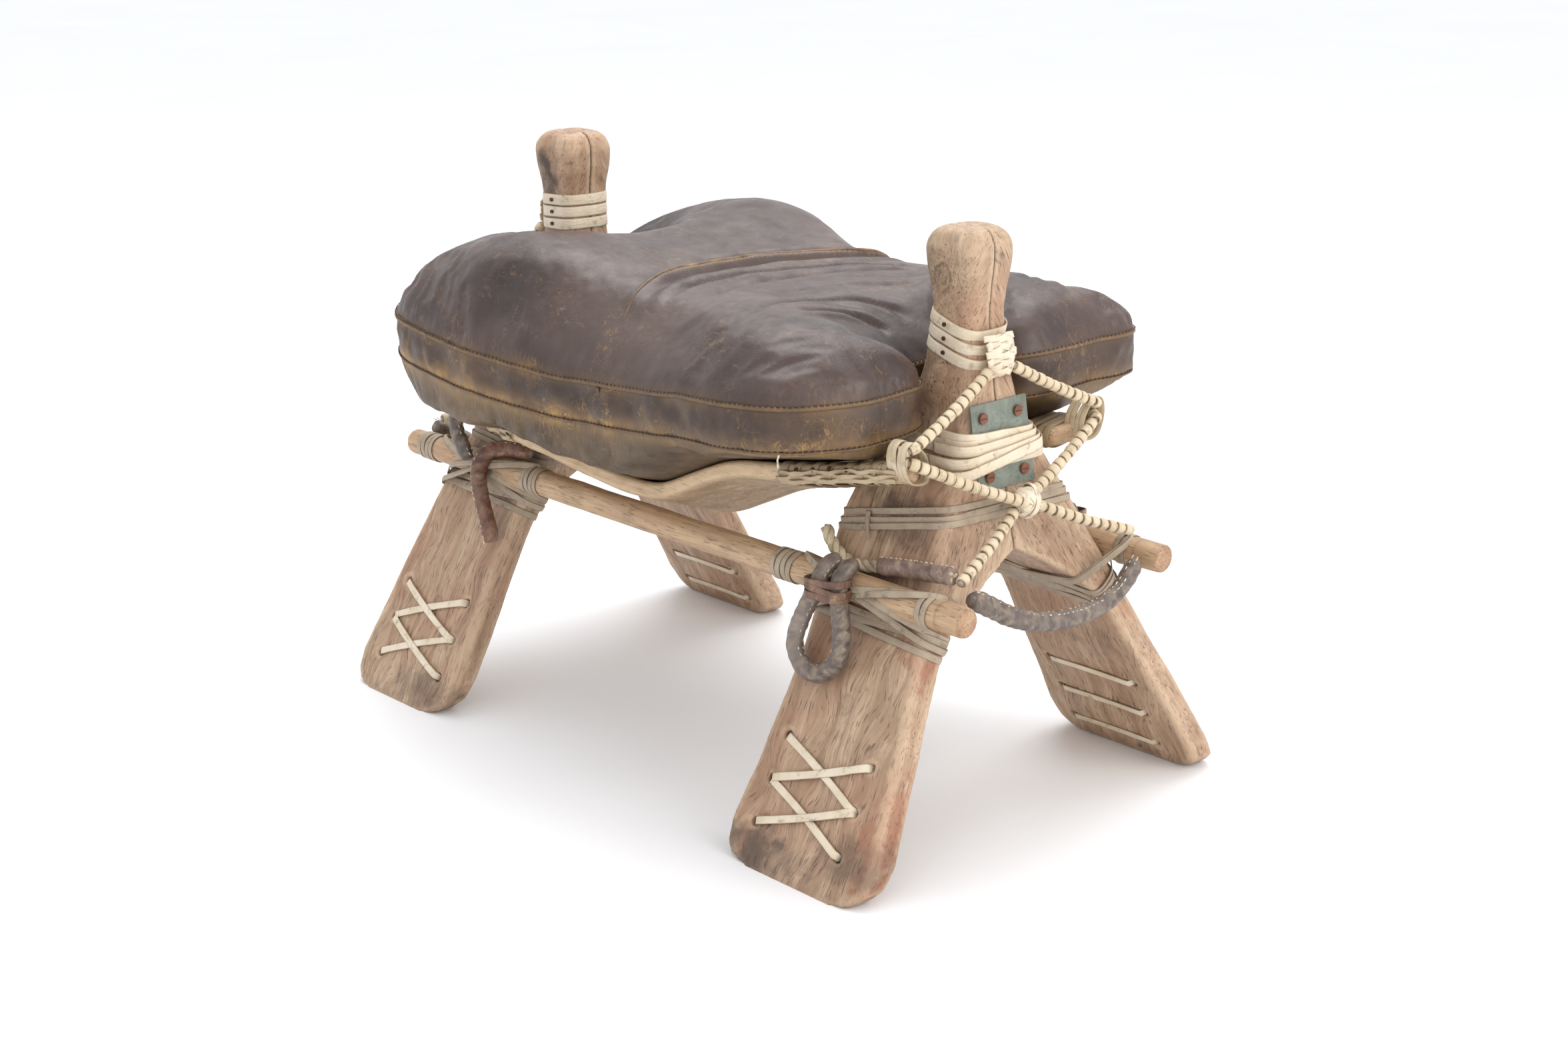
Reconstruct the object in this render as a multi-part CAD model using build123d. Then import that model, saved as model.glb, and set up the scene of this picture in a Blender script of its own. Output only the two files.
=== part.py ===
from build123d import *
import math
import os

# Camel saddle stool: two carved forks, each of two boards that meet in a pommel post, carry two scooped
# side boards and a stuffed leather cushion. Two rods run along the sides, and rawhide and rope tie it all.
# Millimetres. X runs from the rear to the front, Y to the rider's left, Z up from the floor.
# Pieces are drawn at the front right and mirrored to the other corners.

# Forks: where the post stands, and how far the legs splay
post_axis_x = 255.0
front_post_height = 488.0
rear_post_height = 513.0
leg_splay = math.radians(29.2)
leg_thickness = 26.0
foot_outer_y = 220.0

# Forks: widths along X, measured from the middle of the stool, from the floor up
foot_inner_x = 193.0
front_foot_outer_x = 362.0
rear_foot_outer_x = 350.0
foot_corner = 28.0
knee_height = 150.0
knee_inner_x = 201.0
knee_outer_x = 330.0
shoulder_height = 262.0
shoulder_inner_x = 189.0
shoulder_outer_x = 304.0
root_height = 345.0
root_inner_x = 219.0
root_outer_x = 288.0
root_half_depth = 32.0
collar_height = 376.0
collar_half_depth = 27.0
neck_drop = 64.0
neck_width = 48.0
neck_depth = 50.0
head_drop = 25.0
head_width = 57.0
head_depth = 58.0
head_dome = 18.0
head_inset = 13.0

# Forks: the arch between the legs, and how their edges are rounded
arch_height = 165.0
crotch_height = 234.0
arch_power = 1.35
leg_edge = 7.0
post_edge = 15.0
split_edge = 1.2

# Lacing: six holes a leg, a flat thong on the outer face and three runs on the inner one
hole_radius = 4.0
hole_inner_x = 222.0
hole_outer_x = 317.0
hole_first_height = 31.0
hole_pitch = 32.0
thong_width = 5.2
thong_thickness = 1.6
thong_plug = 5.6

# Rods
rod_radius = 12.5
rod_height = 213.0
rod_half_length = 368.0
rod_chamfer = 1.5

# Side boards: the outer top edge dips in the middle, and each board slopes down towards the middle
board_half_length = 300.0
board_thickness = 16.0
board_low = 256.5
board_front_rise = 70.0
board_rear_rise = 17.0
board_outer_y = 142.0
board_tip_y = 104.0
board_inner_y = 52.0
board_middle_drop = 31.0
board_end_drop = 12.0
board_tip_round = 20.0
board_edge_round = 4.5
board_corner_round = 7.7

# Joint plates over the split of each post, with slotted screws
plate_thickness = 1.6
plate_width = 64.0
plate_low = 284.0
plate_high = 352.0
screw_inset_y = 12.0
screw_inset_z = 11.0
screw_head_radius = 4.6
screw_head_height = 1.7
screw_slot = 1.1
screw_shank_radius = 1.8
screw_length = 15.0

# Collars: three flat straps, tacks, and a knot on the face that carries the lattice
strap_width = 9.4
strap_thickness = 1.9
strap_pitch = 11.2
front_collar_low = 385.0
front_collar_tilt = 17.0
rear_collar_low = 424.0
rear_collar_tilt = 2.0
tack_radius = 1.7
tack_height = 0.9
collar_knot_height = 34.0
collar_knot_width = 31.0
collar_knot_thickness = 12.0

# Rawhide windings: round strip of this size, drawn with this gap to what it winds round
wire = 3.8
wire_gap = 0.35
winding_pitch = 5.2
shoulder_low = 303.0
front_lower_low = 249.0
rear_lower_low = 220.0
fork_turns = 4
rear_lower_turns = 3
binding_turns = 7
inner_band_turns = 4
front_outer_band_turns = 2
rear_outer_band_turns = 4
leg_wrap_turns = 3
band_clear = 5.0
round_share = 0.97
corner_share = 0.49

# Lattice of wrapped cords on each outer fork face: from the collar knot to the board tips, then crossing to the rods
cord_core = 4.0
cord_wire = 2.9
cord_pitch = 7.4
lattice_x = 322.0
lattice_layer = 4.9
front_knot_depth = 27.2
rear_knot_depth = 26.0
front_lattice_z = 276.0
rear_lattice_z = 256.0
front_knot_width = 28.0
rear_knot_width = 54.0
front_tip_x = 300.0
rear_tip_x = 309.0
lattice_tip_y = 108.0
front_tip_z = 333.0
rear_tip_z = 281.0
lattice_rod_x = 346.0
lattice_rod_y = 101.0
lattice_rod_z = 236.0

# Leather covered ropes
rope_diameter = 11.0
sleeve_diameter = 15.0
swag_diameter = 17.0
loop_diameter = 16.0

# Cushion
cushion_front = 272.0
cushion_rear = 295.0
cushion_lobe = 208.0
cushion_seam_height = 360.0
cushion_seam_rise = 9.0
cushion_band = 36.0
cushion_belly = 88.0
cushion_crown = 78.0
cushion_channel = 7.0
cushion_channel_half = 13.0
cushion_gap = 0.4
notch_half_width = 46.0
notch_reach = 205.0
notch_corner = 22.0
notch_mouth = 28.0
notch_flare = 30.0

# One overrun for every cut, and a small gap that also picks out corners
over = 5.0
small_gap = 0.5

os.makedirs("parts", exist_ok=True)

FRONT, REAR = "front", "rear"
RIGHT, LEFT = "right", "left"
slope = math.tan(leg_splay)


# Curves worked out from rows of (place, value)

def smooth(at, rows):
    """Value at a place on an even curve through the rows, which never overshoots them."""
    places = [row[0] for row in rows]
    values = [row[1] for row in rows]
    if at <= places[0]:
        return values[0]
    if at >= places[-1]:
        return values[-1]
    steps = [b - a for a, b in zip(places, places[1:])]
    grades = [(b - a) / h for a, b, h in zip(values, values[1:], steps)]
    ends = [grades[0]] + [0] * (len(grades) - 1) + [grades[-1]]
    for i in range(1, len(grades)):
        before, after = grades[i - 1], grades[i]
        if before * after > 0:
            ends[i] = 2 * before * after / (before + after)
    i = max(k for k in range(len(steps)) if places[k] <= at)
    t = (at - places[i]) / steps[i]
    start = values[i] * (1 + 2 * t) * (1 - t) ** 2 + values[i + 1] * t * t * (3 - 2 * t)
    return start + steps[i] * (ends[i] * t * (1 - t) ** 2 - ends[i + 1] * t * t * (1 - t))


def post_height(end):
    return front_post_height if end == FRONT else rear_post_height


def inner_x(z, end):
    """Edge of a fork towards the middle of the stool."""
    neck = post_height(end) - neck_drop
    return smooth(z, [(0, foot_inner_x), (knee_height, knee_inner_x), (shoulder_height, shoulder_inner_x),
                      (root_height, root_inner_x), (neck, post_axis_x - neck_width / 2),
                      (post_height(end) - head_drop, post_axis_x - head_width / 2)])


def outer_x(z, end):
    """Edge of a fork away from the middle of the stool."""
    foot = front_foot_outer_x if end == FRONT else rear_foot_outer_x
    neck = post_height(end) - neck_drop
    return smooth(z, [(0, foot), (knee_height, knee_outer_x), (shoulder_height, shoulder_outer_x),
                      (root_height, root_outer_x), (neck, post_axis_x + neck_width / 2),
                      (post_height(end) - head_drop, post_axis_x + head_width / 2)])


def outer_y(z, end):
    """Distance of a fork's outer side from the split: a straight slope, then the post."""
    if z <= shoulder_height:
        return foot_outer_y - z * slope
    neck = post_height(end) - neck_drop
    return smooth(z, [(shoulder_height, foot_outer_y - shoulder_height * slope),
                      (root_height, root_half_depth), (collar_height, collar_half_depth), (neck, neck_depth / 2),
                      (post_height(end) - head_drop, head_depth / 2)])


def inner_y(z):
    """Distance of a leg's inner side from the split: straight, then the arch up to the crotch."""
    span = leg_thickness / math.cos(leg_splay)
    if z <= arch_height:
        return foot_outer_y - span - z * slope
    if z >= crotch_height:
        return 0
    share = (z - arch_height) / (crotch_height - arch_height)
    return (foot_outer_y - span - arch_height * slope) * (1 - share ** arch_power)


# Basic shapes

def rounded_section(z, x0, x1, y0, y1, outer_round, inner_round):
    """Level face with rounded corners. y0 is the outer side, where the corners have outer_round."""
    cut = 1 - math.sqrt(0.5)
    corners = [(x0, y0, outer_round, 1, 1), (x1, y0, outer_round, -1, 1),
               (x1, y1, inner_round, -1, -1), (x0, y1, inner_round, 1, -1)]
    edges = []
    for i, (x, y, r, sx, sy) in enumerate(corners):
        nx, ny, nr, nsx, nsy = corners[(i + 1) % 4]
        along_x = (x, y + sy * r, z)
        along_y = (x + sx * r, y, z)
        middle = (x + sx * r * cut, y + sy * r * cut, z)
        first, last = (along_x, along_y) if i % 2 == 0 else (along_y, along_x)
        edges.append(ThreePointArc(first, middle, last))
        following = (nx + nsx * nr, ny, z) if i % 2 == 0 else (nx, ny + nsy * nr, z)
        edges.append(Line(last, following))
    return Face(Wire(edges))


def tube(points, diameter, radii, name=None):
    """Round tube along straight runs joined by tangent arcs."""
    path = FilletPolyline(*points, radius=radii)
    ring = Plane(origin=path @ 0, z_dir=path % 0) * Circle(diameter / 2)
    solid = sweep(ring, path=path)
    if name:
        round_radii = [round(r, 1) for r in radii]
        share = solid.volume / (math.pi * diameter ** 2 / 4 * path.length)
        print(f"{name}: length {path.length:.1f} mm, radii {round_radii}, volume share {share:.4f}")
    return solid


def route_radii(points, most=None):
    """Largest radius for each corner of a route: 0.45 of its shorter run over the tangent of half the turn."""
    radii = []
    for a, b, c in zip(points, points[1:], points[2:]):
        before = Vector(*b) - Vector(*a)
        after = Vector(*c) - Vector(*b)
        half_turn = math.radians(before.get_angle(after)) / 2
        radius = 0.45 * min(before.length, after.length) / math.tan(half_turn)
        radii.append(min(radius, most) if most else radius)
    return radii


def winding(corners, corner_radius, diameter, name):
    """Unbroken tube wound through corner points, four a turn, each rounded to at most corner_radius."""
    radii = []
    for a, b, c in zip(corners, corners[1:], corners[2:]):
        before = Vector(*b) - Vector(*a)
        after = Vector(*c) - Vector(*b)
        half_turn = math.radians(before.get_angle(after)) / 2
        radii.append(min(corner_radius, corner_share * min(before.length, after.length) / math.tan(half_turn)))
    path = FilletPolyline(*corners, radius=radii)
    ring = Plane(origin=path @ 0, z_dir=path % 0) * Circle(diameter / 2)
    turns = max(1, (len(corners) - 2) // 4)
    samples = 24 * turns
    points = [path @ (i / samples) for i in range(samples + 1)]
    apart = 14
    gaps = [(points[i] - points[j]).length for i in range(samples) for j in range(i + apart, samples + 1)]
    least = min(gaps) - diameter if turns > 1 else path.length
    print(f"{name}: {turns} turns, least gap to itself {least:.2f} mm")
    return sweep(ring, path=path)


def placed(shape, end, side):
    """A shape drawn at the front right, mirrored to another corner."""
    if end == REAR:
        shape = mirror(shape, about=Plane.YZ)
    if side == LEFT:
        shape = mirror(shape, about=Plane.XZ)
    return shape


# Forks: each half is a stack of level sections

def between(low, high, shares):
    return [low + (high - low) * share for share in shares]


foot_shares = [0, 0.12, 0.4, 1]
leg_shares = [0.35, 0.7, 1]
arch_shares = [0.25, 0.5, 0.75, 1]
shoulder_shares = [0.5, 1]
root_shares = [0.25, 0.5, 0.75, 1]
post_shares = [0.35, 0.7, 1]
head_shares = [0.35, 0.7, 0.92, 1]
room_shares = [0, 0.2, 0.4, 0.6, 0.8, 1]
edge_share = 0.45


def fork_levels(end):
    top = post_height(end)
    levels = between(0, foot_corner, foot_shares)
    levels += between(foot_corner, knee_height, leg_shares)
    levels += between(arch_height, crotch_height, [0] + arch_shares)
    levels += between(crotch_height, shoulder_height, shoulder_shares)
    levels += between(shoulder_height, root_height, root_shares)
    levels += [collar_height]
    levels += between(collar_height, top - neck_drop, post_shares)
    levels += between(top - neck_drop, top - head_dome, post_shares)
    levels += between(top - head_dome, top, head_shares)
    return levels


def fork_section(z, end):
    """Level section of the fork's half at the front right."""
    top = post_height(end)
    inset = 0
    if z < foot_corner:
        inset = foot_corner - math.sqrt(foot_corner ** 2 - (foot_corner - z) ** 2)
    dome = 0
    if z > top - head_dome:
        dome = head_inset * (1 - math.sqrt(1 - ((z - top + head_dome) / head_dome) ** 2))
    x0, x1 = inner_x(z, end) + inset + dome, outer_x(z, end) - inset - dome
    y0, y1 = dome - outer_y(z, end), -inner_y(z)
    inner_edge = smooth(z, [(arch_height, leg_edge), (crotch_height, split_edge)])
    edge = smooth(z, [(shoulder_height, leg_edge), (collar_height, post_edge)])
    edge = min(edge, edge_share * (x1 - x0), 2 * edge_share * (y1 - y0 - inner_edge))
    return rounded_section(z, x0, x1, y0, y1, edge, inner_edge)


def fork_half(end):
    return loft([fork_section(z, end) for z in fork_levels(end)], ruled=True)


# A leg's own plane: u along X, v up the slope, n out of the outer face

leg_plane = Plane(origin=(0, -foot_outer_y, 0), x_dir=(1, 0, 0), z_dir=(0, -math.cos(leg_splay), math.sin(leg_splay)))


def on_leg(u, v, n):
    """Point given in a leg's own plane, at the front right."""
    out = n * math.cos(leg_splay) - v * math.sin(leg_splay)
    rise = n * math.sin(leg_splay) + v * math.cos(leg_splay)
    return (u, -foot_outer_y - out, rise)


def hole_places():
    """Rows of hole places from the top one down, inner column first."""
    rows = [2, 1, 0]
    heights = [(hole_first_height + row * hole_pitch) / math.cos(leg_splay) for row in rows]
    return [((hole_inner_x, v), (hole_outer_x, v)) for v in heights]


def lacing_holes():
    holes = []
    for row in hole_places():
        for u, v in row:
            plane = Plane(origin=on_leg(u, v, over), x_dir=(1, 0, 0), z_dir=leg_plane.z_dir)
            holes.append(extrude(plane * Circle(hole_radius), amount=-leg_thickness - 2 * over))
    return holes


def thong(start, finish, low, high):
    """Flat run of thong between two places of the leg's plane, from depth low to high."""
    (u0, v0), (u1, v1) = start, finish
    length = math.hypot(u1 - u0, v1 - v0)
    turn = math.degrees(math.atan2(v1 - v0, u1 - u0))
    plane = Plane(origin=on_leg((u0 + u1) / 2, (v0 + v1) / 2, low), x_dir=(1, 0, 0), z_dir=leg_plane.z_dir)
    return extrude(plane * Rot(0, 0, turn) * Rectangle(length, thong_width), amount=high - low)


def lacing():
    """Crossed thong outside, three runs inside, and the ends that pass through the holes."""
    rows = hole_places()
    crossings = [(rows[0][0], rows[1][1]), (rows[1][0], rows[0][1]), (rows[1][0], rows[2][1]), (rows[2][0], rows[1][1])]
    inner = -leg_thickness
    runs = []
    for i, (start, finish) in enumerate(crossings):
        lift = thong_thickness * (i % 2)
        runs.append(thong(start, finish, wire_gap, wire_gap + thong_thickness + lift))
    for row in rows:
        runs.append(thong(row[0], row[1], inner - wire_gap - thong_thickness, inner - wire_gap))
        for u, v in row:
            plane = Plane(origin=on_leg(u, v, wire_gap + thong_thickness), x_dir=(1, 0, 0), z_dir=leg_plane.z_dir)
            depth = leg_thickness + 2 * (wire_gap + thong_thickness)
            runs.append(extrude(plane * Circle(thong_plug / 2), amount=-depth))
    return runs[0].fuse(*runs[1:])


# Rods

rod_y = foot_outer_y - rod_height * slope + (rod_radius + wire_gap) / math.cos(leg_splay)
rod_v = (rod_height + (rod_radius + wire_gap) * -math.sin(leg_splay)) / math.cos(leg_splay)


def rod():
    bar = Cylinder(rod_radius, 2 * rod_half_length, rotation=(0, 90, 0))
    bar = chamfer(bar.edges().filter_by(GeomType.CIRCLE), rod_chamfer)
    return Pos(0, -rod_y, rod_height) * bar


# Side boards

front_rise_shares = [(0, 0), (0.12, 0.08), (0.257, 0.32), (0.387, 0.56), (0.51, 0.67), (0.63, 0.74), (0.83, 0.9),
                     (1, 1)]
rear_rise_shares = [(0, 0), (0.13, 0.12), (0.31, 0.44), (0.49, 0.76), (0.69, 0.87), (1, 1)]
board_stations = [-1, -0.8, -0.6, -0.4, -0.22, -0.08, 0.04, 0.13, 0.22, 0.31, 0.4, 0.52, 0.68, 0.84, 1]


def board_edge(x):
    """Height of the outer top edge of a side board."""
    share = x / board_half_length
    if share >= 0:
        return board_low + board_front_rise * smooth(share, front_rise_shares)
    return board_low + board_rear_rise * smooth(-share, rear_rise_shares)


def board_drop(x):
    """How far the inner edge lies below the outer one."""
    return smooth(abs(x), [(board_half_length / 3, board_middle_drop), (board_half_length, board_end_drop)])


def board_top(x, y):
    """Height of the top of a side board at a distance y from the middle."""
    share = (board_outer_y - y) / (board_outer_y - board_inner_y)
    return board_edge(x) - board_drop(x) * share


def tongue_y(end):
    """Inner edge of a board's tongue: it leaves room for the binding beside the fork."""
    x = shoulder_inner_x if end == FRONT else -shoulder_inner_x
    y = board_outer_y / 2
    for _ in range(12):
        y = outer_y(board_top(x, y) - board_thickness, end) + (wire + 2 * wire_gap + small_gap) / math.cos(leg_splay)
    return y


def board_outline():
    """Plan of a side board: broad in the middle, a tongue at each end."""
    front_tongue, rear_tongue = tongue_y(FRONT), tongue_y(REAR)
    wide = board_half_length / 2
    tongue = shoulder_inner_x - over
    tip = board_half_length
    shoulder = tip - board_tip_round
    shoulder_y = board_tip_y + board_tip_round / 2
    points = [(wide, -board_outer_y), (shoulder, -shoulder_y), (tip, -board_tip_y), (shoulder, -front_tongue),
              (tongue, -front_tongue), (wide, -board_inner_y)]
    points += [(-wide, -board_inner_y), (-tongue, -rear_tongue), (-shoulder, -rear_tongue), (-tip, -board_tip_y),
               (-shoulder, -shoulder_y), (-wide, -board_outer_y)]
    return points


def board_face(y, rise, depth):
    """Upright face along a board at distance y: its top curve raised by rise, its lower curve lowered by depth."""
    xs = [share * (board_half_length + over) for share in board_stations]
    top = Spline(*[(x, -y, board_top(x, y) + rise) for x in xs])
    bottom = Spline(*[(x, -y, board_top(x, y) - depth) for x in xs])
    return Face(Wire([top, Line(top @ 1, bottom @ 1), bottom, Line(bottom @ 0, top @ 0)]))


def board_slab(low_y, high_y, rise, depth):
    return loft([board_face(low_y, rise, depth), board_face(high_y, rise, depth)], ruled=True)


def side_board():
    outline = make_face(Polyline(*board_outline(), close=True))
    outline = fillet(outline.vertices(), board_corner_round)
    column = extrude(Pos(0, 0, board_low / 2) * outline, amount=board_low)
    board = board_slab(board_inner_y - over, board_outer_y + over, 0, board_thickness) & column
    upright = board.edges().filter_by(Axis.Z)
    return fillet(board.edges() - upright, board_edge_round)


# Joint plates and their screws

def face_x(z, end):
    """Outer fork face between its level sections, where the plate lies flat on it."""
    levels = fork_levels(end)
    i = max(k for k in range(len(levels) - 1) if levels[k] <= z)
    share = (z - levels[i]) / (levels[i + 1] - levels[i])
    return outer_x(levels[i], end) * (1 - share) + outer_x(levels[i + 1], end) * share


def plate(end):
    levels = [plate_low] + [z for z in fork_levels(end) if plate_low < z < plate_high] + [plate_high]
    inner = [(face_x(z, end), z) for z in levels]
    outer = [(x + plate_thickness, z) for x, z in reversed(inner)]
    profile = make_face(Plane.XZ * Polyline(*inner, *outer, close=True))
    return extrude(profile, amount=plate_width / 2, both=True)


def screw_places():
    y = plate_width / 2 - screw_inset_y
    return [(side * y, z) for side in (-1, 1) for z in (plate_low + screw_inset_z, plate_high - screw_inset_z)]


def screws(end):
    """Slotted round heads on the plate with their shanks in the wood."""
    made = []
    for y, z in screw_places():
        seat = max(face_x(z - screw_head_radius, end), face_x(z + screw_head_radius, end)) + plate_thickness
        head = Cylinder(screw_head_radius, screw_head_height, rotation=(0, 90, 0))
        head = Pos(seat + screw_head_height / 2, y, z) * head
        slot = Pos(seat + screw_head_height, y, z) * Box(screw_head_height, 3 * screw_head_radius, screw_slot)
        made.append((head - slot) + screw_shank(y, z, seat))
    return made


def screw_shank(y, z, seat):
    return Pos(seat - screw_length / 2, y, z) * Cylinder(screw_shank_radius, screw_length, rotation=(0, 90, 0))


def screw_bores(end):
    bores = []
    for y, z in screw_places():
        seat = max(face_x(z - screw_head_radius, end), face_x(z + screw_head_radius, end)) + plate_thickness
        bores.append(screw_shank(y, z, seat + screw_head_height / 2) + screw_shank(y, z, seat))
    return bores


# Collars

def collar_values(end):
    if end == FRONT:
        return front_collar_low, front_collar_tilt
    return rear_collar_low, rear_collar_tilt


def strap_sizes(end, row):
    """Post edges and half depth inside a strap, and the height of the strap's middle."""
    low, tilt = collar_values(end)
    z = low + row * strap_pitch
    lean = math.tan(math.radians(tilt)) * neck_width / 2
    bottom, top = z - lean, z + strap_width + lean
    half_depth = max(outer_y(bottom, end), outer_y(top, end))
    left = min(inner_x(bottom, end), inner_x(top, end))
    right = max(outer_x(bottom, end), outer_x(top, end))
    return left, right, half_depth, z + strap_width / 2


def collar_strap(end, row):
    """One flat strap round the post, sloping down to the outer face at the front."""
    left, right, half_depth, z = strap_sizes(end, row)
    width, depth, wall = right - left, 2 * half_depth, 2 * strap_thickness
    inside = RectangleRounded(width, depth, post_edge)
    outside = RectangleRounded(width + wall, depth + wall, post_edge + strap_thickness)
    ring = extrude(outside - inside, amount=strap_width / 2, both=True)
    return Pos((left + right) / 2, 0, z) * Rot(0, collar_values(end)[1], 0) * ring


def collar_tacks(end):
    """A tack through each strap, on the side of the post, one row down each side."""
    low, tilt = collar_values(end)
    made = []
    for row in range(3):
        z = low + row * strap_pitch + strap_width / 2
        y = max(outer_y(z - strap_width / 2, end), outer_y(z + strap_width / 2, end)) + strap_thickness
        for side in (-1, 1):
            tack = Cylinder(tack_radius, tack_height + over, rotation=(90, 0, 0))
            made.append(Pos(post_axis_x, side * (y + tack_height / 2 - over / 2 + wire_gap), z) * tack)
    return made


def strap_reach(end, row):
    """How far a tilted strap reaches along X."""
    left, right, half_depth, z = strap_sizes(end, row)
    tilt = math.radians(collar_values(end)[1])
    half = (right - left) / 2 + strap_thickness
    return (left + right) / 2 + half * math.cos(tilt) + strap_width / 2 * math.sin(tilt)


def collar_knot(end):
    """Knot block against the outer face below the collar, hollowed by the fork and straps."""
    low, tilt = collar_values(end)
    z = low - math.sin(math.radians(tilt)) * neck_width / 2 + strap_width
    face = max(outer_x(z - collar_knot_height / 2, end), strap_reach(end, 0), strap_reach(end, 1))
    block = Box(collar_knot_thickness, collar_knot_width, collar_knot_height)
    block = fillet(block.edges().filter_by(Axis.X), collar_knot_width / 4)
    block = chamfer(block.faces().sort_by(Axis.X)[-1].edges(), collar_knot_thickness / 4)
    return Pos(face + collar_knot_thickness / 2 + wire_gap, 0, z) * block, (face, z)


# Windings

def rod_band(first_x, turns, name):
    """Turns of rawhide round a rod, starting at first_x and going on along +X."""
    half = rod_radius + wire_gap + wire / 2
    corners = []
    for i in range(4 * turns + 2):
        quarter = i % 4
        y = half if quarter in (0, 3) else -half
        z = half if quarter in (0, 1) else -half
        corners.append((first_x + i * winding_pitch / 4, -rod_y + y, rod_height + z))
    return winding(corners, half * round_share, wire, name)


def leg_wrap(end, name):
    """Turns round a leg just below the rod."""
    off = wire / 2 + 2 * wire_gap
    top = rod_v - rod_radius
    corners = []
    for i in range(4 * leg_wrap_turns + 2):
        quarter = i % 4
        v = top - i * winding_pitch / 4
        n = off if quarter in (0, 1) else -leg_thickness - off
        z = on_leg(0, v, n)[2]
        if quarter in (2, 3):
            n = (inner_y(z + winding_pitch) - outer_y(z, end)) * math.cos(leg_splay) - off
        u = outer_x(z - off, end) + off if quarter in (1, 2) else inner_x(z - off, end) - off
        corners.append(on_leg(u, v, n))
    return winding(corners, leg_edge - wire_gap, wire, name)


def fork_winding(end, low, turns, clear, name):
    """Turns round both halves of a fork, from the level low upwards, at this clearance on the outer face."""
    off = wire / 2 + wire_gap
    corners = []
    for i in range(4 * turns + 2):
        quarter = i % 4
        z = low + i * winding_pitch / 4
        below = z - wire / 4
        inside = min(inner_x(below, end), inner_x(z, end)) - off
        x = outer_x(below, end) + clear + off if quarter in (1, 2) else inside
        y = outer_y(below, end) + off
        corners.append((x, y if quarter in (2, 3) else -y, z))
    return winding(corners, leg_edge + off, wire, name)


def board_binding(end, name):
    """Turns round a side board's tongue, from near the fork to its tip."""
    off = wire / 2 + 1.5 * wire_gap
    sign = 1 if end == FRONT else -1
    tongue = tongue_y(end)
    wide, first, last = board_half_length / 2, shoulder_inner_x - over, board_half_length - board_tip_round
    tip_y = board_tip_y + board_tip_round / 2
    steps = 4 * binding_turns + 1
    corners = []
    for i in range(steps + 1):
        quarter = i % 4
        x = first + (last - first) * i / steps
        edge = board_outer_y + (tip_y - board_outer_y) * (x - wide) / (last - wide)
        y = edge + 2 * off if quarter in (0, 3) else tongue - off
        z = board_top(sign * x, y) + off if quarter in (0, 1) else board_top(sign * x, y) - board_thickness - off
        corners.append((x, -y, z))
    return winding(corners, board_edge_round + wire_gap, wire, name)


# Lattice: straight cores with a strip wound round them

def wrapped_cord(start, finish, bare, name):
    """Core between two points and its winding, which leaves the first part of the core bare."""
    a, b = Vector(*start), Vector(*finish)
    along = (b - a).normalized()
    plane = Plane(origin=a, z_dir=along)
    length = (b - a).length
    core = extrude(plane * Circle(cord_core / 2), amount=length)
    half = cord_core / 2 + wire_gap / 2 + cord_wire / 2
    turns = int((length - bare - 2 * cord_wire) / cord_pitch)
    first = bare + (length - bare - turns * cord_pitch) / 2
    signs = [(1, 1), (-1, 1), (-1, -1), (1, -1)]
    corners = []
    for i in range(4 * turns + 2):
        sx, sy = signs[i % 4]
        place = plane.from_local_coords((sx * half, sy * half, first + (i - 0.5) * cord_pitch / 4))
        corners.append((place.X, place.Y, place.Z))
    return core, winding(corners, half * round_share, cord_wire, name)


def shortened(start, finish, cut_start, cut_finish):
    """Both ends of a line, drawn back by the cuts."""
    a, b = Vector(*start), Vector(*finish)
    along = (b - a).normalized()
    a, b = a + along * cut_start, b - along * cut_finish
    return (a.X, a.Y, a.Z), (b.X, b.Y, b.Z)


def lattice(end, knot_face, knot_z):
    """Cords, wraps and the crossing knot, drawn at the front."""
    at_front = end == FRONT
    tip_x, tip_z = (front_tip_x, front_tip_z) if at_front else (rear_tip_x, rear_tip_z)
    z, width = (front_lattice_z, front_knot_width) if at_front else (rear_lattice_z, rear_knot_width)
    reach = cord_core / 2 + wire_gap / 2 + cord_wire
    cords, wraps = [], []
    for side in (-1, 1):
        tip = (tip_x, side * lattice_tip_y, tip_z)
        top = (knot_face + collar_knot_thickness / 2, side * collar_knot_width / 2, knot_z - collar_knot_height / 4)
        lean = (Vector(*tip) - Vector(*top)).normalized()
        seat = wire_gap + cord_core / 2 * math.sqrt(1 - lean.Y ** 2)
        top = (top[0], top[1] + side * seat, top[2])
        low = (tip_x, side * lattice_tip_y, tip_z - 2 * reach)
        middle = (lattice_x - side * lattice_layer, 0, z)
        rod_end = (lattice_rod_x, -side * lattice_rod_y, lattice_rod_z)
        runs = [("upper", *shortened(top, tip, 0, 0)),
                ("middle", *shortened(low, middle, reach, width / 2)),
                ("lower", *shortened(middle, rod_end, width / 2, 0))]
        for label, start, finish in runs:
            bare = reach if label == "upper" else 0
            core, wrap = wrapped_cord(start, finish, bare, f"{end} {label} cord {side}")
            cords.append(core)
            wraps.append((label, wrap))
    knot = Sphere(width / 2 + reach)
    depth = front_knot_depth if at_front else rear_knot_depth
    block = Box(depth, 2 * width, depth)
    return cords, wraps, Pos(lattice_x, 0, z) * (knot & block)


# Ropes, as routes chosen by hand at the front right

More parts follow.
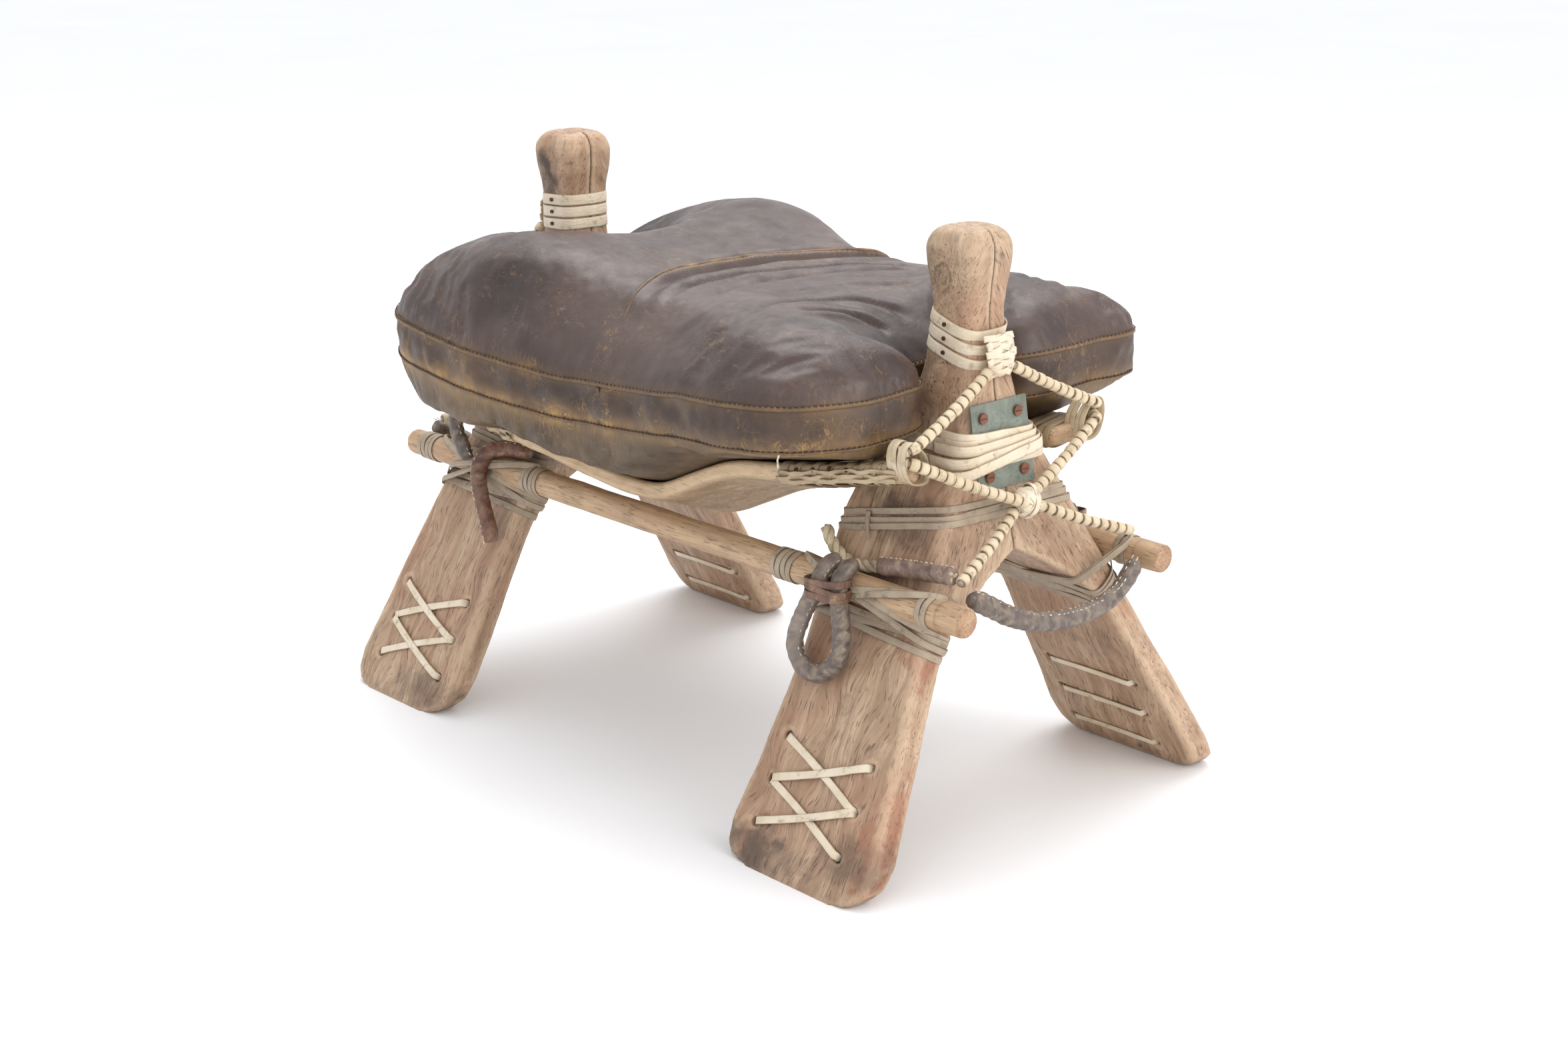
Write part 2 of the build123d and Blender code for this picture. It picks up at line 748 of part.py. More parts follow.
tie_route = [(193.0, -96.5, 247.0), (199.0, -98.5, 238.0), (212.0, -100.5, 229.0), (232.0, -101.3, 223.6),
             (262.0, -102.0, 230.5), (300.0, -101.5, 236.0), (338.0, -101.0, 240.0)]
swag_route = [(357.4, -100.2, 226.4), (358.5, -81.0, 215.5), (359.0, -59.0, 202.0), (359.5, -32.0, 191.5),
              (359.5, 2.0, 185.0), (359.0, 36.0, 184.0), (358.0, 66.0, 189.5), (357.0, 83.0, 200.5),
              (356.5, 94.3, 213.0)]
rear_tie_route = [(258.0, -131.5, 279.0), (270.0, -132.0, 268.0), (275.5, -133.0, 252.0), (267.5, -134.0, 237.0),
                  (254.0, -135.0, 222.5)]
loop_route = [(230.0, -119.0, 234.0), (226.0, -132.5, 230.0), (219.0, -139.0, 213.0), (208.5, -141.0, 186.0),
              (205.0, -145.5, 162.5), (221.5, -150.5, 146.0), (245.5, -150.5, 146.0), (262.0, -145.5, 162.5),
              (263.5, -141.0, 186.0), (259.5, -139.0, 213.0), (253.0, -132.5, 230.0), (249.0, -119.0, 234.0)]
tail_route = [(190.0, -111.0, 234.3), (208.0, -113.0, 234.3), (224.0, -120.5, 234.2), (233.0, -132.0, 229.0),
              (232.0, -139.5, 210.0), (225.0, -141.0, 189.0), (212.0, -143.5, 167.0), (206.0, -145.5, 154.0)]
sleeve_end_share = 0.16


def sleeve(route):
    """Leather sleeve round the tie rope's last two runs."""
    a, b, c = [Vector(*point) for point in route[-3:]]
    start = a + (b - a) * sleeve_end_share
    finish = c + (b - c) * sleeve_end_share
    path = FilletPolyline(start, b, finish, radius=route_radii(route)[-1] / 2)
    ring = Plane(origin=path @ 0, z_dir=path % 0) * (Circle(sleeve_diameter / 2) - Circle(rope_diameter / 2 + wire_gap))
    return sweep(ring, path=path)


# Cushion: top, band and bottom are lofts over the same stations, cut by the two notches

def seam_height(x):
    return cushion_seam_height + cushion_seam_rise * x / cushion_front


near_shares = [(-1, 0.66), (-0.95, 0.8), (-0.84, 0.94), (-0.6, 1.02), (-0.38, 1.04), (-0.12, 0.93), (0.1, 0.87),
               (0.3, 0.89), (0.56, 0.95), (0.75, 0.94), (0.9, 0.84), (0.97, 0.72), (1, 0.6)]
far_shares = [(-1, 0.66), (-0.95, 0.8), (-0.84, 0.94), (-0.6, 1.02), (-0.38, 1.04), (-0.12, 0.93), (0.1, 0.88),
              (0.3, 0.91), (0.56, 0.98), (0.8, 1), (0.93, 0.97), (1, 0.86)]
crown_shares = [(-1, 0.22), (-0.92, 0.6), (-0.78, 0.9), (-0.5, 1), (-0.2, 0.86), (0, 0.78), (0.25, 0.78), (0.55, 0.86),
                (0.78, 0.72), (0.93, 0.42), (1, 0.14)]
belly_shares = [(-1, 0.04), (-0.8, 0.16), (-0.5, 0.55), (-0.2, 0.92), (0, 1), (0.2, 0.93), (0.45, 0.5), (0.7, 0.14),
                (1, 0.04)]
waist_share, bulge_share, flat_share = 0.62, 0.92, 0.74
cushion_places = [-1, -0.97, -0.9, -0.78, -0.62, -0.42, -0.22, 0, 0.22, 0.42, 0.6, 0.76, 0.89, 0.97, 1]


def cushion_x(share):
    return share * (cushion_front if share > 0 else cushion_rear)


def sides(share):
    """The cushion's near and far side at a station."""
    return -cushion_lobe * smooth(share, near_shares), cushion_lobe * smooth(share, far_shares)


def crown_height(share):
    """Rise of the top above its seam, with the crosswise seam as a channel in the middle."""
    rise = cushion_crown * smooth(share, crown_shares)
    near = abs(cushion_x(share)) / cushion_channel_half
    return rise - cushion_channel * max(0, 1 - near)


def top_section(share):
    x, (near, far) = cushion_x(share), sides(share)
    z = seam_height(x)
    arc = ThreePointArc((x, near, z), (x, (near + far) / 2, z + crown_height(share)), (x, far, z))
    return Face(Wire([arc, Line((x, far, z), (x, near, z))]))


def band_section(share):
    x, (near, far) = cushion_x(share), sides(share)
    z = seam_height(x)
    low = z - cushion_band
    return Face(Wire(Polyline((x, near, z), (x, far, z), (x, far, low), (x, near, low), close=True)))


def bottom_section(share):
    x, (near, far) = cushion_x(share), sides(share)
    z = seam_height(x) - cushion_band
    depth = cushion_gap + cushion_belly * smooth(share, belly_shares)
    waist, low = z - waist_share * depth, z - depth
    left = ThreePointArc((x, near, z), (x, near * bulge_share, waist), (x, near * flat_share, low))
    right = ThreePointArc((x, far * flat_share, low), (x, far * bulge_share, waist), (x, far, z))
    floor = Line((x, near * flat_share, low), (x, far * flat_share, low))
    return Face(Wire([left, floor, right, Line((x, far, z), (x, near, z))]))


def cushion_loft(section, places):
    return loft([section(share) for share in places], ruled=True)


def notch(end):
    """Column that clears a post: narrow inside, flared at the mouth."""
    reach = cushion_front if end == FRONT else cushion_rear
    half, wide, mouth = notch_half_width, notch_half_width + notch_flare, reach - notch_mouth
    outline = Polyline((notch_reach, -half), (mouth, -half), (reach + over, -wide),
                       (reach + over, wide), (mouth, half), (notch_reach, half), close=True)
    face = make_face(outline)
    face = fillet([v for v in face.vertices() if v.X < notch_reach + over], notch_corner)
    face = fillet([v for v in face.vertices() if abs(v.X - mouth) < small_gap], notch_mouth)
    column = extrude(face, amount=cushion_seam_height * 2)
    return column if end == FRONT else mirror(column, about=Plane.YZ)


def fork_room(end):
    """Room for a fork and its lashings under and between the cushion's lobes."""
    clear = wire + winding_pitch + cushion_gap
    levels = between(crotch_height, cushion_seam_height, room_shares)
    across = [(outer_y(z, end) + clear, z) for z in levels]
    across += [(-y, z) for y, z in reversed(across)]
    reach = cushion_rear + over
    front = extrude(make_face(Plane.YZ * Polyline(*across, close=True)), amount=reach)
    along = [(inner_x(z, end) - clear, z) for z in levels]
    along += [(reach, cushion_seam_height), (reach, crotch_height)]
    side = extrude(make_face(Plane.XZ * Polyline(*along, close=True)), amount=cushion_lobe, both=True)
    room = front & side
    return room if end == FRONT else mirror(room, about=Plane.YZ)


def cushion():
    """Top, band and bottom of the cushion, which meet face to face."""
    channels = [cushion_channel_half / cushion_front, -cushion_channel_half / cushion_rear]
    made = [cushion_loft(top_section, sorted(cushion_places + channels)),
            cushion_loft(band_section, cushion_places), cushion_loft(bottom_section, cushion_places)]
    low_y, high_y, depth = board_inner_y - 4 * over, board_outer_y + over, cushion_belly + cushion_band
    bound = board_slab(low_y, high_y, wire + 3 * wire_gap + cushion_gap, depth)
    bare = Box(2 * (shoulder_inner_x - 2 * over), 2 * cushion_lobe, 2 * cushion_seam_height)
    under = [board_slab(low_y, high_y, cushion_gap, depth), bound - bare]
    under += [mirror(slab, about=Plane.XZ) for slab in under]
    for end in (FRONT, REAR):
        made = [piece - notch(end) for piece in made]
        made[1:] = [piece - fork_room(end) for piece in made[1:]]
    for slab in under:
        made[2] = made[2] - slab
    return made


# All nodes

nodes = {}
halves = {}
for end in (FRONT, REAR):
    half = fork_half(end)
    for hole in lacing_holes():
        half = half - hole
    for bore in screw_bores(end):
        half = half - bore
    halves[end] = half
    for side in (RIGHT, LEFT):
        nodes[f"{end}_{side}_leg"] = placed(half, end, side)
        nodes[f"{end}_{side}_lacing"] = placed(lacing(), end, side)

for side in (RIGHT, LEFT):
    nodes[f"{side}_rod"] = placed(rod(), FRONT, side)
    nodes[f"{side}_side_board"] = placed(side_board(), FRONT, side)

for end in (FRONT, REAR):
    both = [halves[end], mirror(halves[end], about=Plane.XZ)]
    sheet = plate(end)
    for bore in screw_bores(end):
        sheet = sheet - bore
    nodes[f"{end}_joint_plate"] = placed(sheet, end, RIGHT)
    nodes[f"{end}_plate_screws"] = placed(Compound(screws(end)), end, RIGHT)

    tacks = collar_tacks(end)
    straps = []
    for row in range(3):
        strap = collar_strap(end, row)
        for wood in both:
            strap = strap - wood
        for tack in tacks:
            strap = strap - tack
        straps.append(strap)
    nodes[f"{end}_collar_straps"] = placed(Compound(straps), end, RIGHT)
    pins = []
    for tack in tacks:
        for wood in both:
            tack = tack - wood
        pins.append(tack)
    nodes[f"{end}_collar_tacks"] = placed(Compound(pins), end, RIGHT)

    knot, (knot_face, knot_z) = collar_knot(end)
    for wood in both + straps:
        knot = knot - wood
    nodes[f"{end}_collar_knot"] = placed(knot, end, RIGHT)

    low, turns = (front_lower_low, fork_turns) if end == FRONT else (rear_lower_low, rear_lower_turns)
    lower = fork_winding(end, low, turns, 0, f"{end} lower lashing")
    shoulder = fork_winding(end, shoulder_low, fork_turns, plate_thickness, f"{end} shoulder lashing")
    nodes[f"{end}_shoulder_lashing"] = placed(shoulder, end, RIGHT)
    nodes[f"{end}_lower_lashing"] = placed(lower, end, RIGHT)

    binding = board_binding(end, f"{end} board binding")
    outer_turns = front_outer_band_turns if end == FRONT else rear_outer_band_turns
    inner_first = inner_x(rod_height, end) - band_clear - inner_band_turns * winding_pitch - wire
    outer_first = outer_x(rod_height - rod_radius, end) + band_clear
    bands = [rod_band(inner_first, inner_band_turns, f"{end} inner rod band"),
             rod_band(outer_first, outer_turns, f"{end} outer rod band"),
             leg_wrap(end, f"{end} leg wrap")]
    for side in (RIGHT, LEFT):
        nodes[f"{end}_{side}_board_binding"] = placed(binding, end, side)
        nodes[f"{end}_{side}_rod_lashing"] = placed(Compound(bands), end, side)

    cords, wraps, crossing = lattice(end, knot_face, knot_z)
    for shape in cords + [wrap for _, wrap in wraps]:
        crossing = crossing - shape
    nodes[f"{end}_lattice_knot"] = placed(crossing, end, RIGHT)
    nodes[f"{end}_lattice_cords"] = placed(Compound(cords), end, RIGHT)
    for label in ("upper", "middle", "lower"):
        group = [wrap for name, wrap in wraps if name == label]
        nodes[f"{end}_{label}_cord_wraps"] = placed(Compound(group), end, RIGHT)

    swag = tube(swag_route, swag_diameter, route_radii(swag_route), f"{end} swag")
    nodes[f"{end}_swag"] = placed(swag, end, RIGHT)

nodes["front_tie_rope"] = tube(tie_route, rope_diameter, route_radii(tie_route), "front tie rope")
nodes["front_rope_sleeve"] = sleeve(tie_route)
tie = tube(rear_tie_route, loop_diameter, route_radii(rear_tie_route), "rear tie")
nodes["rear_tie"] = placed(tie, REAR, RIGHT)
loop = tube(loop_route, loop_diameter, route_radii(loop_route), "front loop")
tail = tube(tail_route, loop_diameter, route_radii(tail_route), "rear tail")
for side in (RIGHT, LEFT):
    nodes[f"front_{side}_loop"] = placed(loop, FRONT, side)
    nodes[f"rear_{side}_tail"] = placed(tail, REAR, side)

top, band, bottom = cushion()
nodes["cushion_top"] = top
nodes["cushion_band"] = band
nodes["cushion_bottom"] = bottom

for name, shape in nodes.items():
    export_step(shape, f"parts/{name}.step")
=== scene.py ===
"""Camel saddle stool: carved forks, scooped side boards, a stuffed leather cushion, rods, rawhide and rope.

Metres. X runs to the front, Y to the rider's left, Z up from the floor. Pieces of a corner are drawn at the
front right and mirrored to the others.
"""
import math

import bmesh
import bpy
import numpy as np
from mathutils import Matrix, Vector, noise
from mathutils.bvhtree import BVHTree
from mathutils.geometry import delaunay_2d_cdt


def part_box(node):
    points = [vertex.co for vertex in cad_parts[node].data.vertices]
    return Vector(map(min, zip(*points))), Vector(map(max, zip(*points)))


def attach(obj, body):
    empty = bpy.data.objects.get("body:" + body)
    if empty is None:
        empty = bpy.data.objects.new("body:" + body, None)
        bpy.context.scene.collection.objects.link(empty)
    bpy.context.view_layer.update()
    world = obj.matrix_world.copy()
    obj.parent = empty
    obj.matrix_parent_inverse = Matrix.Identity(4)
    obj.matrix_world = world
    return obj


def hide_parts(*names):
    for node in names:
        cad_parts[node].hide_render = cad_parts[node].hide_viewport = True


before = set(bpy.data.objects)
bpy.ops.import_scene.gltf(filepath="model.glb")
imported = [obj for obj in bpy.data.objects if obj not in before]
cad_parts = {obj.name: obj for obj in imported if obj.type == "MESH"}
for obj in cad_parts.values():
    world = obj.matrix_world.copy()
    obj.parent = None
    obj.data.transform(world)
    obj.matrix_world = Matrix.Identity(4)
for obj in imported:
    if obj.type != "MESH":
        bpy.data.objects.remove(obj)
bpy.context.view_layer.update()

MM = 0.001
FRONT, REAR = "front", "rear"
RIGHT, LEFT = "right", "left"
ENDS = {FRONT: 1, REAR: -1}
SIDES = {RIGHT: -1, LEFT: 1}
SPLAY = math.radians(29.2)
SLOPE = math.tan(SPLAY)
FOOT_Y = 220 * MM
ROD_Y, ROD_Z, ROD_HALF = 115.7 * MM, 213 * MM, 368 * MM
POST_X = 255 * MM
# Height where the legs end and the post begins, and the outer edge of the side boards
FORK_Z, BOARD_Y = 262 * MM, 142 * MM


# Camera, floor and light

def set_camera():
    """Stands where the photograph was taken from."""
    yaw, pitch, roll = math.radians(47.953), math.radians(-17.012), math.radians(-0.460)
    ahead = Vector((-math.sin(yaw) * math.cos(pitch), math.cos(yaw) * math.cos(pitch), math.sin(pitch)))
    level = Vector((math.cos(yaw), math.sin(yaw), 0))
    rise = level.cross(ahead)
    across = math.cos(roll) * level + math.sin(roll) * rise
    up = math.cos(roll) * rise - math.sin(roll) * level
    data = bpy.data.cameras.new("camera")
    data.lens, data.sensor_width = 55.10, 36
    camera = bpy.data.objects.new("camera", data)
    turn = Matrix((across, up, -ahead)).transposed()
    camera.matrix_world = Matrix.Translation((1.5420, -1.3594, 0.8158)) @ turn.to_4x4()
    bpy.context.scene.collection.objects.link(camera)
    bpy.context.scene.camera = camera


def add_lamp(name, place, size, watts, colour):
    """A soft square lamp that looks at the seat."""
    data = bpy.data.lights.new(name, "AREA")
    data.size, data.energy, data.color = size, watts, linear(colour)[:3]
    lamp = bpy.data.objects.new(name, data)
    lamp.location = place
    lamp.rotation_euler = (Vector((0, 0, 0.3)) - Vector(place)).to_track_quat("-Z", "Y").to_euler()
    bpy.context.scene.collection.objects.link(lamp)


# Materials

def linear(colour):
    """An sRGB hex colour as the linear one that a shader takes."""
    parts = [int(colour[i:i + 2], 16) / 255 for i in (1, 3, 5)]
    return tuple(c / 12.92 if c <= 0.04045 else ((c + 0.055) / 1.055) ** 2.4 for c in parts) + (1,)


def put(tree, kind, inputs=None, stops=None, **settings):
    """Adds a node with its settings, its values or links, and a ramp's stops."""
    made = tree.nodes.new(kind)
    for key, value in settings.items():
        setattr(made, key, value)
    for key, value in (inputs or {}).items():
        if isinstance(value, bpy.types.NodeSocket):
            tree.links.new(value, made.inputs[key])
        else:
            made.inputs[key].default_value = value
    if stops:
        ramp = made.color_ramp
        while len(ramp.elements) < len(stops):
            ramp.elements.new(0.5)
        for element, (place, colour) in zip(ramp.elements, stops):
            element.position = place
            element.color = linear(colour) if isinstance(colour, str) else (colour, colour, colour, 1)
    return made


def finish_of(name, **values):
    """A new material with its shader, and the uniform values on the shader's own sockets."""
    material = bpy.data.materials.new(name)
    material.use_nodes = True
    tree = material.node_tree
    shader = tree.nodes["Principled BSDF"]
    for key, value in values.items():
        shader.inputs[key.replace("_", " ")].default_value = value
    return material, tree, shader


def object_places(tree):
    return put(tree, "ShaderNodeTexCoord").outputs["Object"]


def stretched(tree, places, x, y, z):
    """Places scaled by so many units a metre along each axis."""
    return put(tree, "ShaderNodeMapping", {0: places, "Scale": (x, y, z)}).outputs[0]


def cloudy(tree, places, scale=1.0, detail=4.0, rough=0.55, warp=0.0):
    return put(tree, "ShaderNodeTexNoise",
               {"Vector": places, "Scale": scale, "Detail": detail, "Roughness": rough,
                "Distortion": warp}).outputs[0]


def ramp(tree, value, *stops):
    return put(tree, "ShaderNodeValToRGB", {0: value}, stops).outputs[0]


def blend(tree, share, below, above):
    """Two colours mixed by a share."""
    return put(tree, "ShaderNodeMix", {0: share, 6: below, 7: above}, data_type="RGBA").outputs[2]


def calc(tree, how, a, b):
    return put(tree, "ShaderNodeMath", {0: a, 1: b}, operation=how).outputs[0]


def bumped(tree, shader, *layers):
    """Bump layers, each a height socket and its depth in metres."""
    normal = None
    for height, depth in layers:
        values = {"Height": height, "Distance": depth, "Strength": 1.0}
        if normal:
            values["Normal"] = normal
        normal = put(tree, "ShaderNodeBump", values).outputs[0]
    tree.links.new(normal, shader.inputs["Normal"])


def marks_of(tree):
    """The three painted marks of a piece, as separate values."""
    painted = put(tree, "ShaderNodeAttribute", attribute_name="marks").outputs["Color"]
    parts = put(tree, "ShaderNodeSeparateColor", {0: painted})
    return parts.outputs[0], parts.outputs[1], parts.outputs[2]


def wood(name, pale, middle, dark, stain, red):
    """Hand-hewn poplar, dry and polished by hands: fibres along the board, dirt in hollows, knots and stains.

    Real fibres are a few tenths of a millimetre wide. Here they are 2 mm wide and 60 mm long, so that they show,
    in a figure of 10 mm bands 200 mm long, with pores 1.4 mm wide.
    """
    material, tree, shader = finish_of(name, IOR=1.5)
    grain = put(tree, "ShaderNodeAttribute", attribute_name="grain").outputs["Vector"]
    places = object_places(tree)
    dirt, rust, worn = marks_of(tree)
    fibres = cloudy(tree, stretched(tree, grain, 520, 16, 520), detail=4, rough=0.7)
    figure = cloudy(tree, stretched(tree, grain, 95, 5, 95), detail=5, rough=0.65, warp=0.12)
    blotches = cloudy(tree, places, 7, 5, 0.62, 0.6)
    patches = cloudy(tree, places, 24, 5, 0.66, 0.4)
    pores = cloudy(tree, stretched(tree, grain, 700, 70, 700), detail=1)
    colour = ramp(tree, figure, (0.28, dark), (0.46, middle), (0.66, pale))
    warm = ramp(tree, blotches, (0.42, 0.0), (0.64, 0.42))
    colour = blend(tree, warm, colour, linear(red))
    grey = ramp(tree, patches, (0.46, 0.0), (0.7, 0.42))
    colour = blend(tree, grey, colour, linear(dark))
    colour = blend(tree, ramp(tree, fibres, (0.42, 0.0), (0.66, 0.62)), colour, linear(dark))
    speck = ramp(tree, pores, (0.31, 1.0), (0.38, 0.0))
    colour = blend(tree, calc(tree, "MULTIPLY", speck, 0.6), colour, linear(stain))
    ragged = ramp(tree, patches, (0.34, 0.35), (0.6, 1.0))
    colour = blend(tree, calc(tree, "MULTIPLY", rust, 0.7), colour, linear(red))
    colour = blend(tree, calc(tree, "MULTIPLY", worn, ragged), colour, linear(pale))
    colour = blend(tree, calc(tree, "MULTIPLY", dirt, ragged), colour, linear(stain))
    tree.links.new(colour, shader.inputs["Base Color"])
    tree.links.new(ramp(tree, patches, (0.3, 0.48), (0.7, 0.66)), shader.inputs["Roughness"])
    bumped(tree, shader, (figure, 0.7 * MM), (fibres, 0.35 * MM), (speck, -0.3 * MM))
    return material


def rawhide(name, pale, middle, edge, dirt, rough):
    """Hide scraped and dried hard: smooth, horn-like cream, darker and yellower at its cut edges.

    Its fibre is drawn 11 mm long, and grime in spots of 9 mm.
    """
    material, tree, shader = finish_of(name, IOR=1.5)
    places = put(tree, "ShaderNodeUVMap", uv_map="UVMap").outputs[0]
    across = put(tree, "ShaderNodeSeparateXYZ", {0: places}).outputs[1]
    from_edge = calc(tree, "ABSOLUTE", calc(tree, "SUBTRACT", across, 0.5), 0)
    fibre = cloudy(tree, stretched(tree, places, 90, 9, 1), detail=4)
    patches = cloudy(tree, object_places(tree), 45, 4, 0.6)
    colour = ramp(tree, patches, (0.3, middle), (0.62, pale))
    colour = blend(tree, calc(tree, "MULTIPLY", fibre, 0.35), colour, linear(middle))
    rim = ramp(tree, from_edge, (0.4, 0.0), (0.5, 0.8))
    colour = blend(tree, rim, colour, linear(edge))
    grime = ramp(tree, cloudy(tree, object_places(tree), 110, 5, 0.7), (0.56, 0.0), (0.72, 0.7))
    colour = blend(tree, grime, colour, linear(dirt))
    tree.links.new(colour, shader.inputs["Base Color"])
    shader.inputs["Roughness"].default_value = rough
    bumped(tree, shader, (fibre, 0.5 * MM), (cloudy(tree, object_places(tree), 300, 3), 0.3 * MM))
    return material


def leather(name, base, light, dark, scuff, rough):
    """Old cowhide, oiled and rubbed: a painted sheen lightens patches, the third mark darkens it (painted shade
    where the seat sinks by the posts, a darker tone elsewhere), tan flecks and hair cracks where worn, pebbled
    grain.

    The pebbles are 2 mm wide, coarser than real ones, so that they show. Hair cracks lie 8 mm apart.
    """
    material, tree, shader = finish_of(name, IOR=1.5)
    places = object_places(tree)
    rubbed, painted_sheen, deep = marks_of(tree)
    clouds = cloudy(tree, places, 8, 5, 0.62, 0.4)
    small = cloudy(tree, places, 52, 5, 0.66, 0.2)
    colour = ramp(tree, clouds, (0.32, dark), (0.5, base), (0.7, light))
    colour = blend(tree, ramp(tree, small, (0.42, 0.0), (0.72, 0.6)), colour, linear(dark))
    # Painted sheen: the second mark lightens the colour towards the light tone.
    colour = blend(tree, calc(tree, "MULTIPLY", painted_sheen, 0.4), colour, linear(light))
    # The third mark darkens: painted shade on the seat's top by the posts, and a darker tone on other pieces.
    colour = blend(tree, deep, colour, linear(dark))
    flecks = ramp(tree, cloudy(tree, stretched(tree, places, 120, 200, 120), detail=4, rough=0.7, warp=0.5),
                  (0.58, 0.0), (0.62, 1.0))
    cracks = put(tree, "ShaderNodeTexVoronoi",
                 {"Vector": stretched(tree, places, 1.0, 1.6, 1.0), "Scale": 120.0,
                                                "Randomness": 1.0}, feature="DISTANCE_TO_EDGE").outputs[0]
    cracks = ramp(tree, cracks, (0.0, 1.0), (0.045, 0.0))
    patchy = ramp(tree, cloudy(tree, places, 21, 5, 0.7, 0.8), (0.46, 0.0), (0.62, 1.0))
    amount = calc(tree, "ADD", calc(tree, "MULTIPLY", rubbed, 1.2), 0.3)
    wear = calc(tree, "MULTIPLY", calc(tree, "MULTIPLY", flecks, patchy), amount)
    crazed = calc(tree, "MULTIPLY", calc(tree, "MULTIPLY", cracks, patchy),
                  calc(tree, "MULTIPLY", amount, 0.6))
    colour = blend(tree, wear, colour, linear(scuff))
    colour = blend(tree, crazed, colour, linear(scuff))
    worn_edge = calc(tree, "MULTIPLY", rubbed, ramp(tree, small, (0.35, 0.25), (0.6, 0.9)))
    colour = blend(tree, worn_edge, colour, linear(scuff))
    tree.links.new(colour, shader.inputs["Base Color"])
    tree.links.new(ramp(tree, small, (0.3, rough - 0.08), (0.7, rough + 0.14)), shader.inputs["Roughness"])
    pebble = put(tree, "ShaderNodeTexVoronoi", {"Vector": places, "Scale": 520.0}).outputs["Distance"]
    bumped(tree, shader, (cloudy(tree, places, 60, 4, 0.55, 0.2), 0.8 * MM), (pebble, 0.05 * MM),
           (wear, -0.2 * MM))
    return material


def rope_fibre(name, pale, dark):
    """Hand-spun cotton cord: dull, hairy, grey in its hollows."""
    material, tree, shader = finish_of(name, IOR=1.45, Roughness=0.9)
    places = put(tree, "ShaderNodeUVMap", uv_map="UVMap").outputs[0]
    hair = cloudy(tree, stretched(tree, places, 900, 5, 1), detail=3)
    soil = cloudy(tree, object_places(tree), 90, 4, 0.7)
    colour = blend(tree, ramp(tree, soil, (0.4, 0.0), (0.68, 0.8)), linear(pale), linear(dark))
    colour = blend(tree, calc(tree, "MULTIPLY", hair, 0.3), colour, linear(dark))
    tree.links.new(colour, shader.inputs["Base Color"])
    bumped(tree, shader, (hair, 0.6 * MM))
    return material


def metal(name, pale, dark, spot, metallic, rough):
    """Thin sheet or cast metal, oxidised: dull film with bare and stained spots."""
    material, tree, shader = finish_of(name, Metallic=metallic)
    places = object_places(tree)
    film = cloudy(tree, places, 60, 5, 0.65, 0.4)
    pits = cloudy(tree, places, 420, 3, 0.6)
    colour = ramp(tree, film, (0.32, dark), (0.62, pale))
    colour = blend(tree, ramp(tree, pits, (0.58, 0.0), (0.68, 0.8)), colour, linear(spot))
    tree.links.new(colour, shader.inputs["Base Color"])
    tree.links.new(ramp(tree, film, (0.3, rough + 0.12), (0.7, rough - 0.08)), shader.inputs["Roughness"])
    bumped(tree, shader, (film, 0.5 * MM), (pits, 0.15 * MM))
    return material


def thread(name, colour, dirt):
    """Waxed linen thread: short stitches, soiled."""
    material, tree, shader = finish_of(name, IOR=1.45, Roughness=0.8)
    soil = cloudy(tree, object_places(tree), 300, 3, 0.7)
    tree.links.new(ramp(tree, soil, (0.35, dirt), (0.6, colour)), shader.inputs["Base Color"])
    bumped(tree, shader, (soil, 0.2 * MM))
    return material


def sealed_floor():
    """Pale sealed studio floor with faint clouds."""
    material, tree, shader = finish_of("sealed_white_floor", Roughness=0.6)
    clouds = cloudy(tree, object_places(tree), 2.2, 6, 0.6, 0.4)
    tree.links.new(ramp(tree, clouds, (0.3, "#f2f2f3"), (0.7, "#f5f5f6")), shader.inputs["Base Color"])
    return material


carved_wood = wood("carved_poplar", "#cdb295", "#b1957a", "#8b7057", "#44352b", "#93583c")
board_wood = wood("scooped_poplar", "#d6bb98", "#b99b78", "#947757", "#5d5546", "#996a48")
rod_wood = wood("peeled_branch_wood", "#d2b491", "#b69674", "#8f7357", "#4f3f33", "#93654a")
new_hide = rawhide("cream_rawhide", "#e3d6c1", "#d0bea2", "#9b8565", "#7d6c57", 0.42)
handled_hide = rawhide("handled_rawhide", "#d9c8ac", "#c2ae8d", "#7d694c", "#66543c", 0.46)
# A darker copy of the rawhide for the plaiting under the seat's edge: grime, and painted shade from the seat
# above.
shaded_plaited_hide = rawhide("plaited_rawhide_with_painted_shade", "#c3ae90", "#a89272", "#6b573e", "#54442f", 0.5)
old_hide = rawhide("smoked_rawhide", "#b0a08a", "#978570", "#655446", "#50443a", 0.5)
seat_top = leather("waxed_seat_leather", "#43322d", "#5a4840", "#2f2320", "#9a7448", 0.4)
seat_side = leather("rubbed_side_leather", "#453225", "#5d4530", "#30241f", "#a5804f", 0.47)
seat_under = leather("greased_under_leather", "#5b4934", "#715a3e", "#3b2e25", "#a3814f", 0.52)
grey_leather = leather("greased_grey_leather", "#534742", "#877b74", "#2f2826", "#a8957f", 0.42)
brown_leather = leather("oxblood_leather", "#5c372c", "#7d5a4c", "#34221e", "#a88566", 0.42)
faded_leather = leather("faded_sleeve_leather", "#7d635c", "#a5938c", "#503b36", "#c0a991", 0.45)
cotton = rope_fibre("spun_cotton", "#dccdb0", "#8e7b62")
sheet_metal = metal("tinned_sheet", "#7f857a", "#62685e", "#5a5646", 0.1, 0.5)
copper = metal("copper_screw", "#8c5c49", "#633f33", "#5c5a4c", 0.4, 0.5)
iron = metal("rusted_tack", "#6b4030", "#42281f", "#7d5238", 0.6, 0.6)
pale_thread = thread("waxed_linen_thread", "#e0d4bc", "#96866e")
dark_thread = thread("tarred_thread", "#2b211d", "#4a3a30")


# Meshes

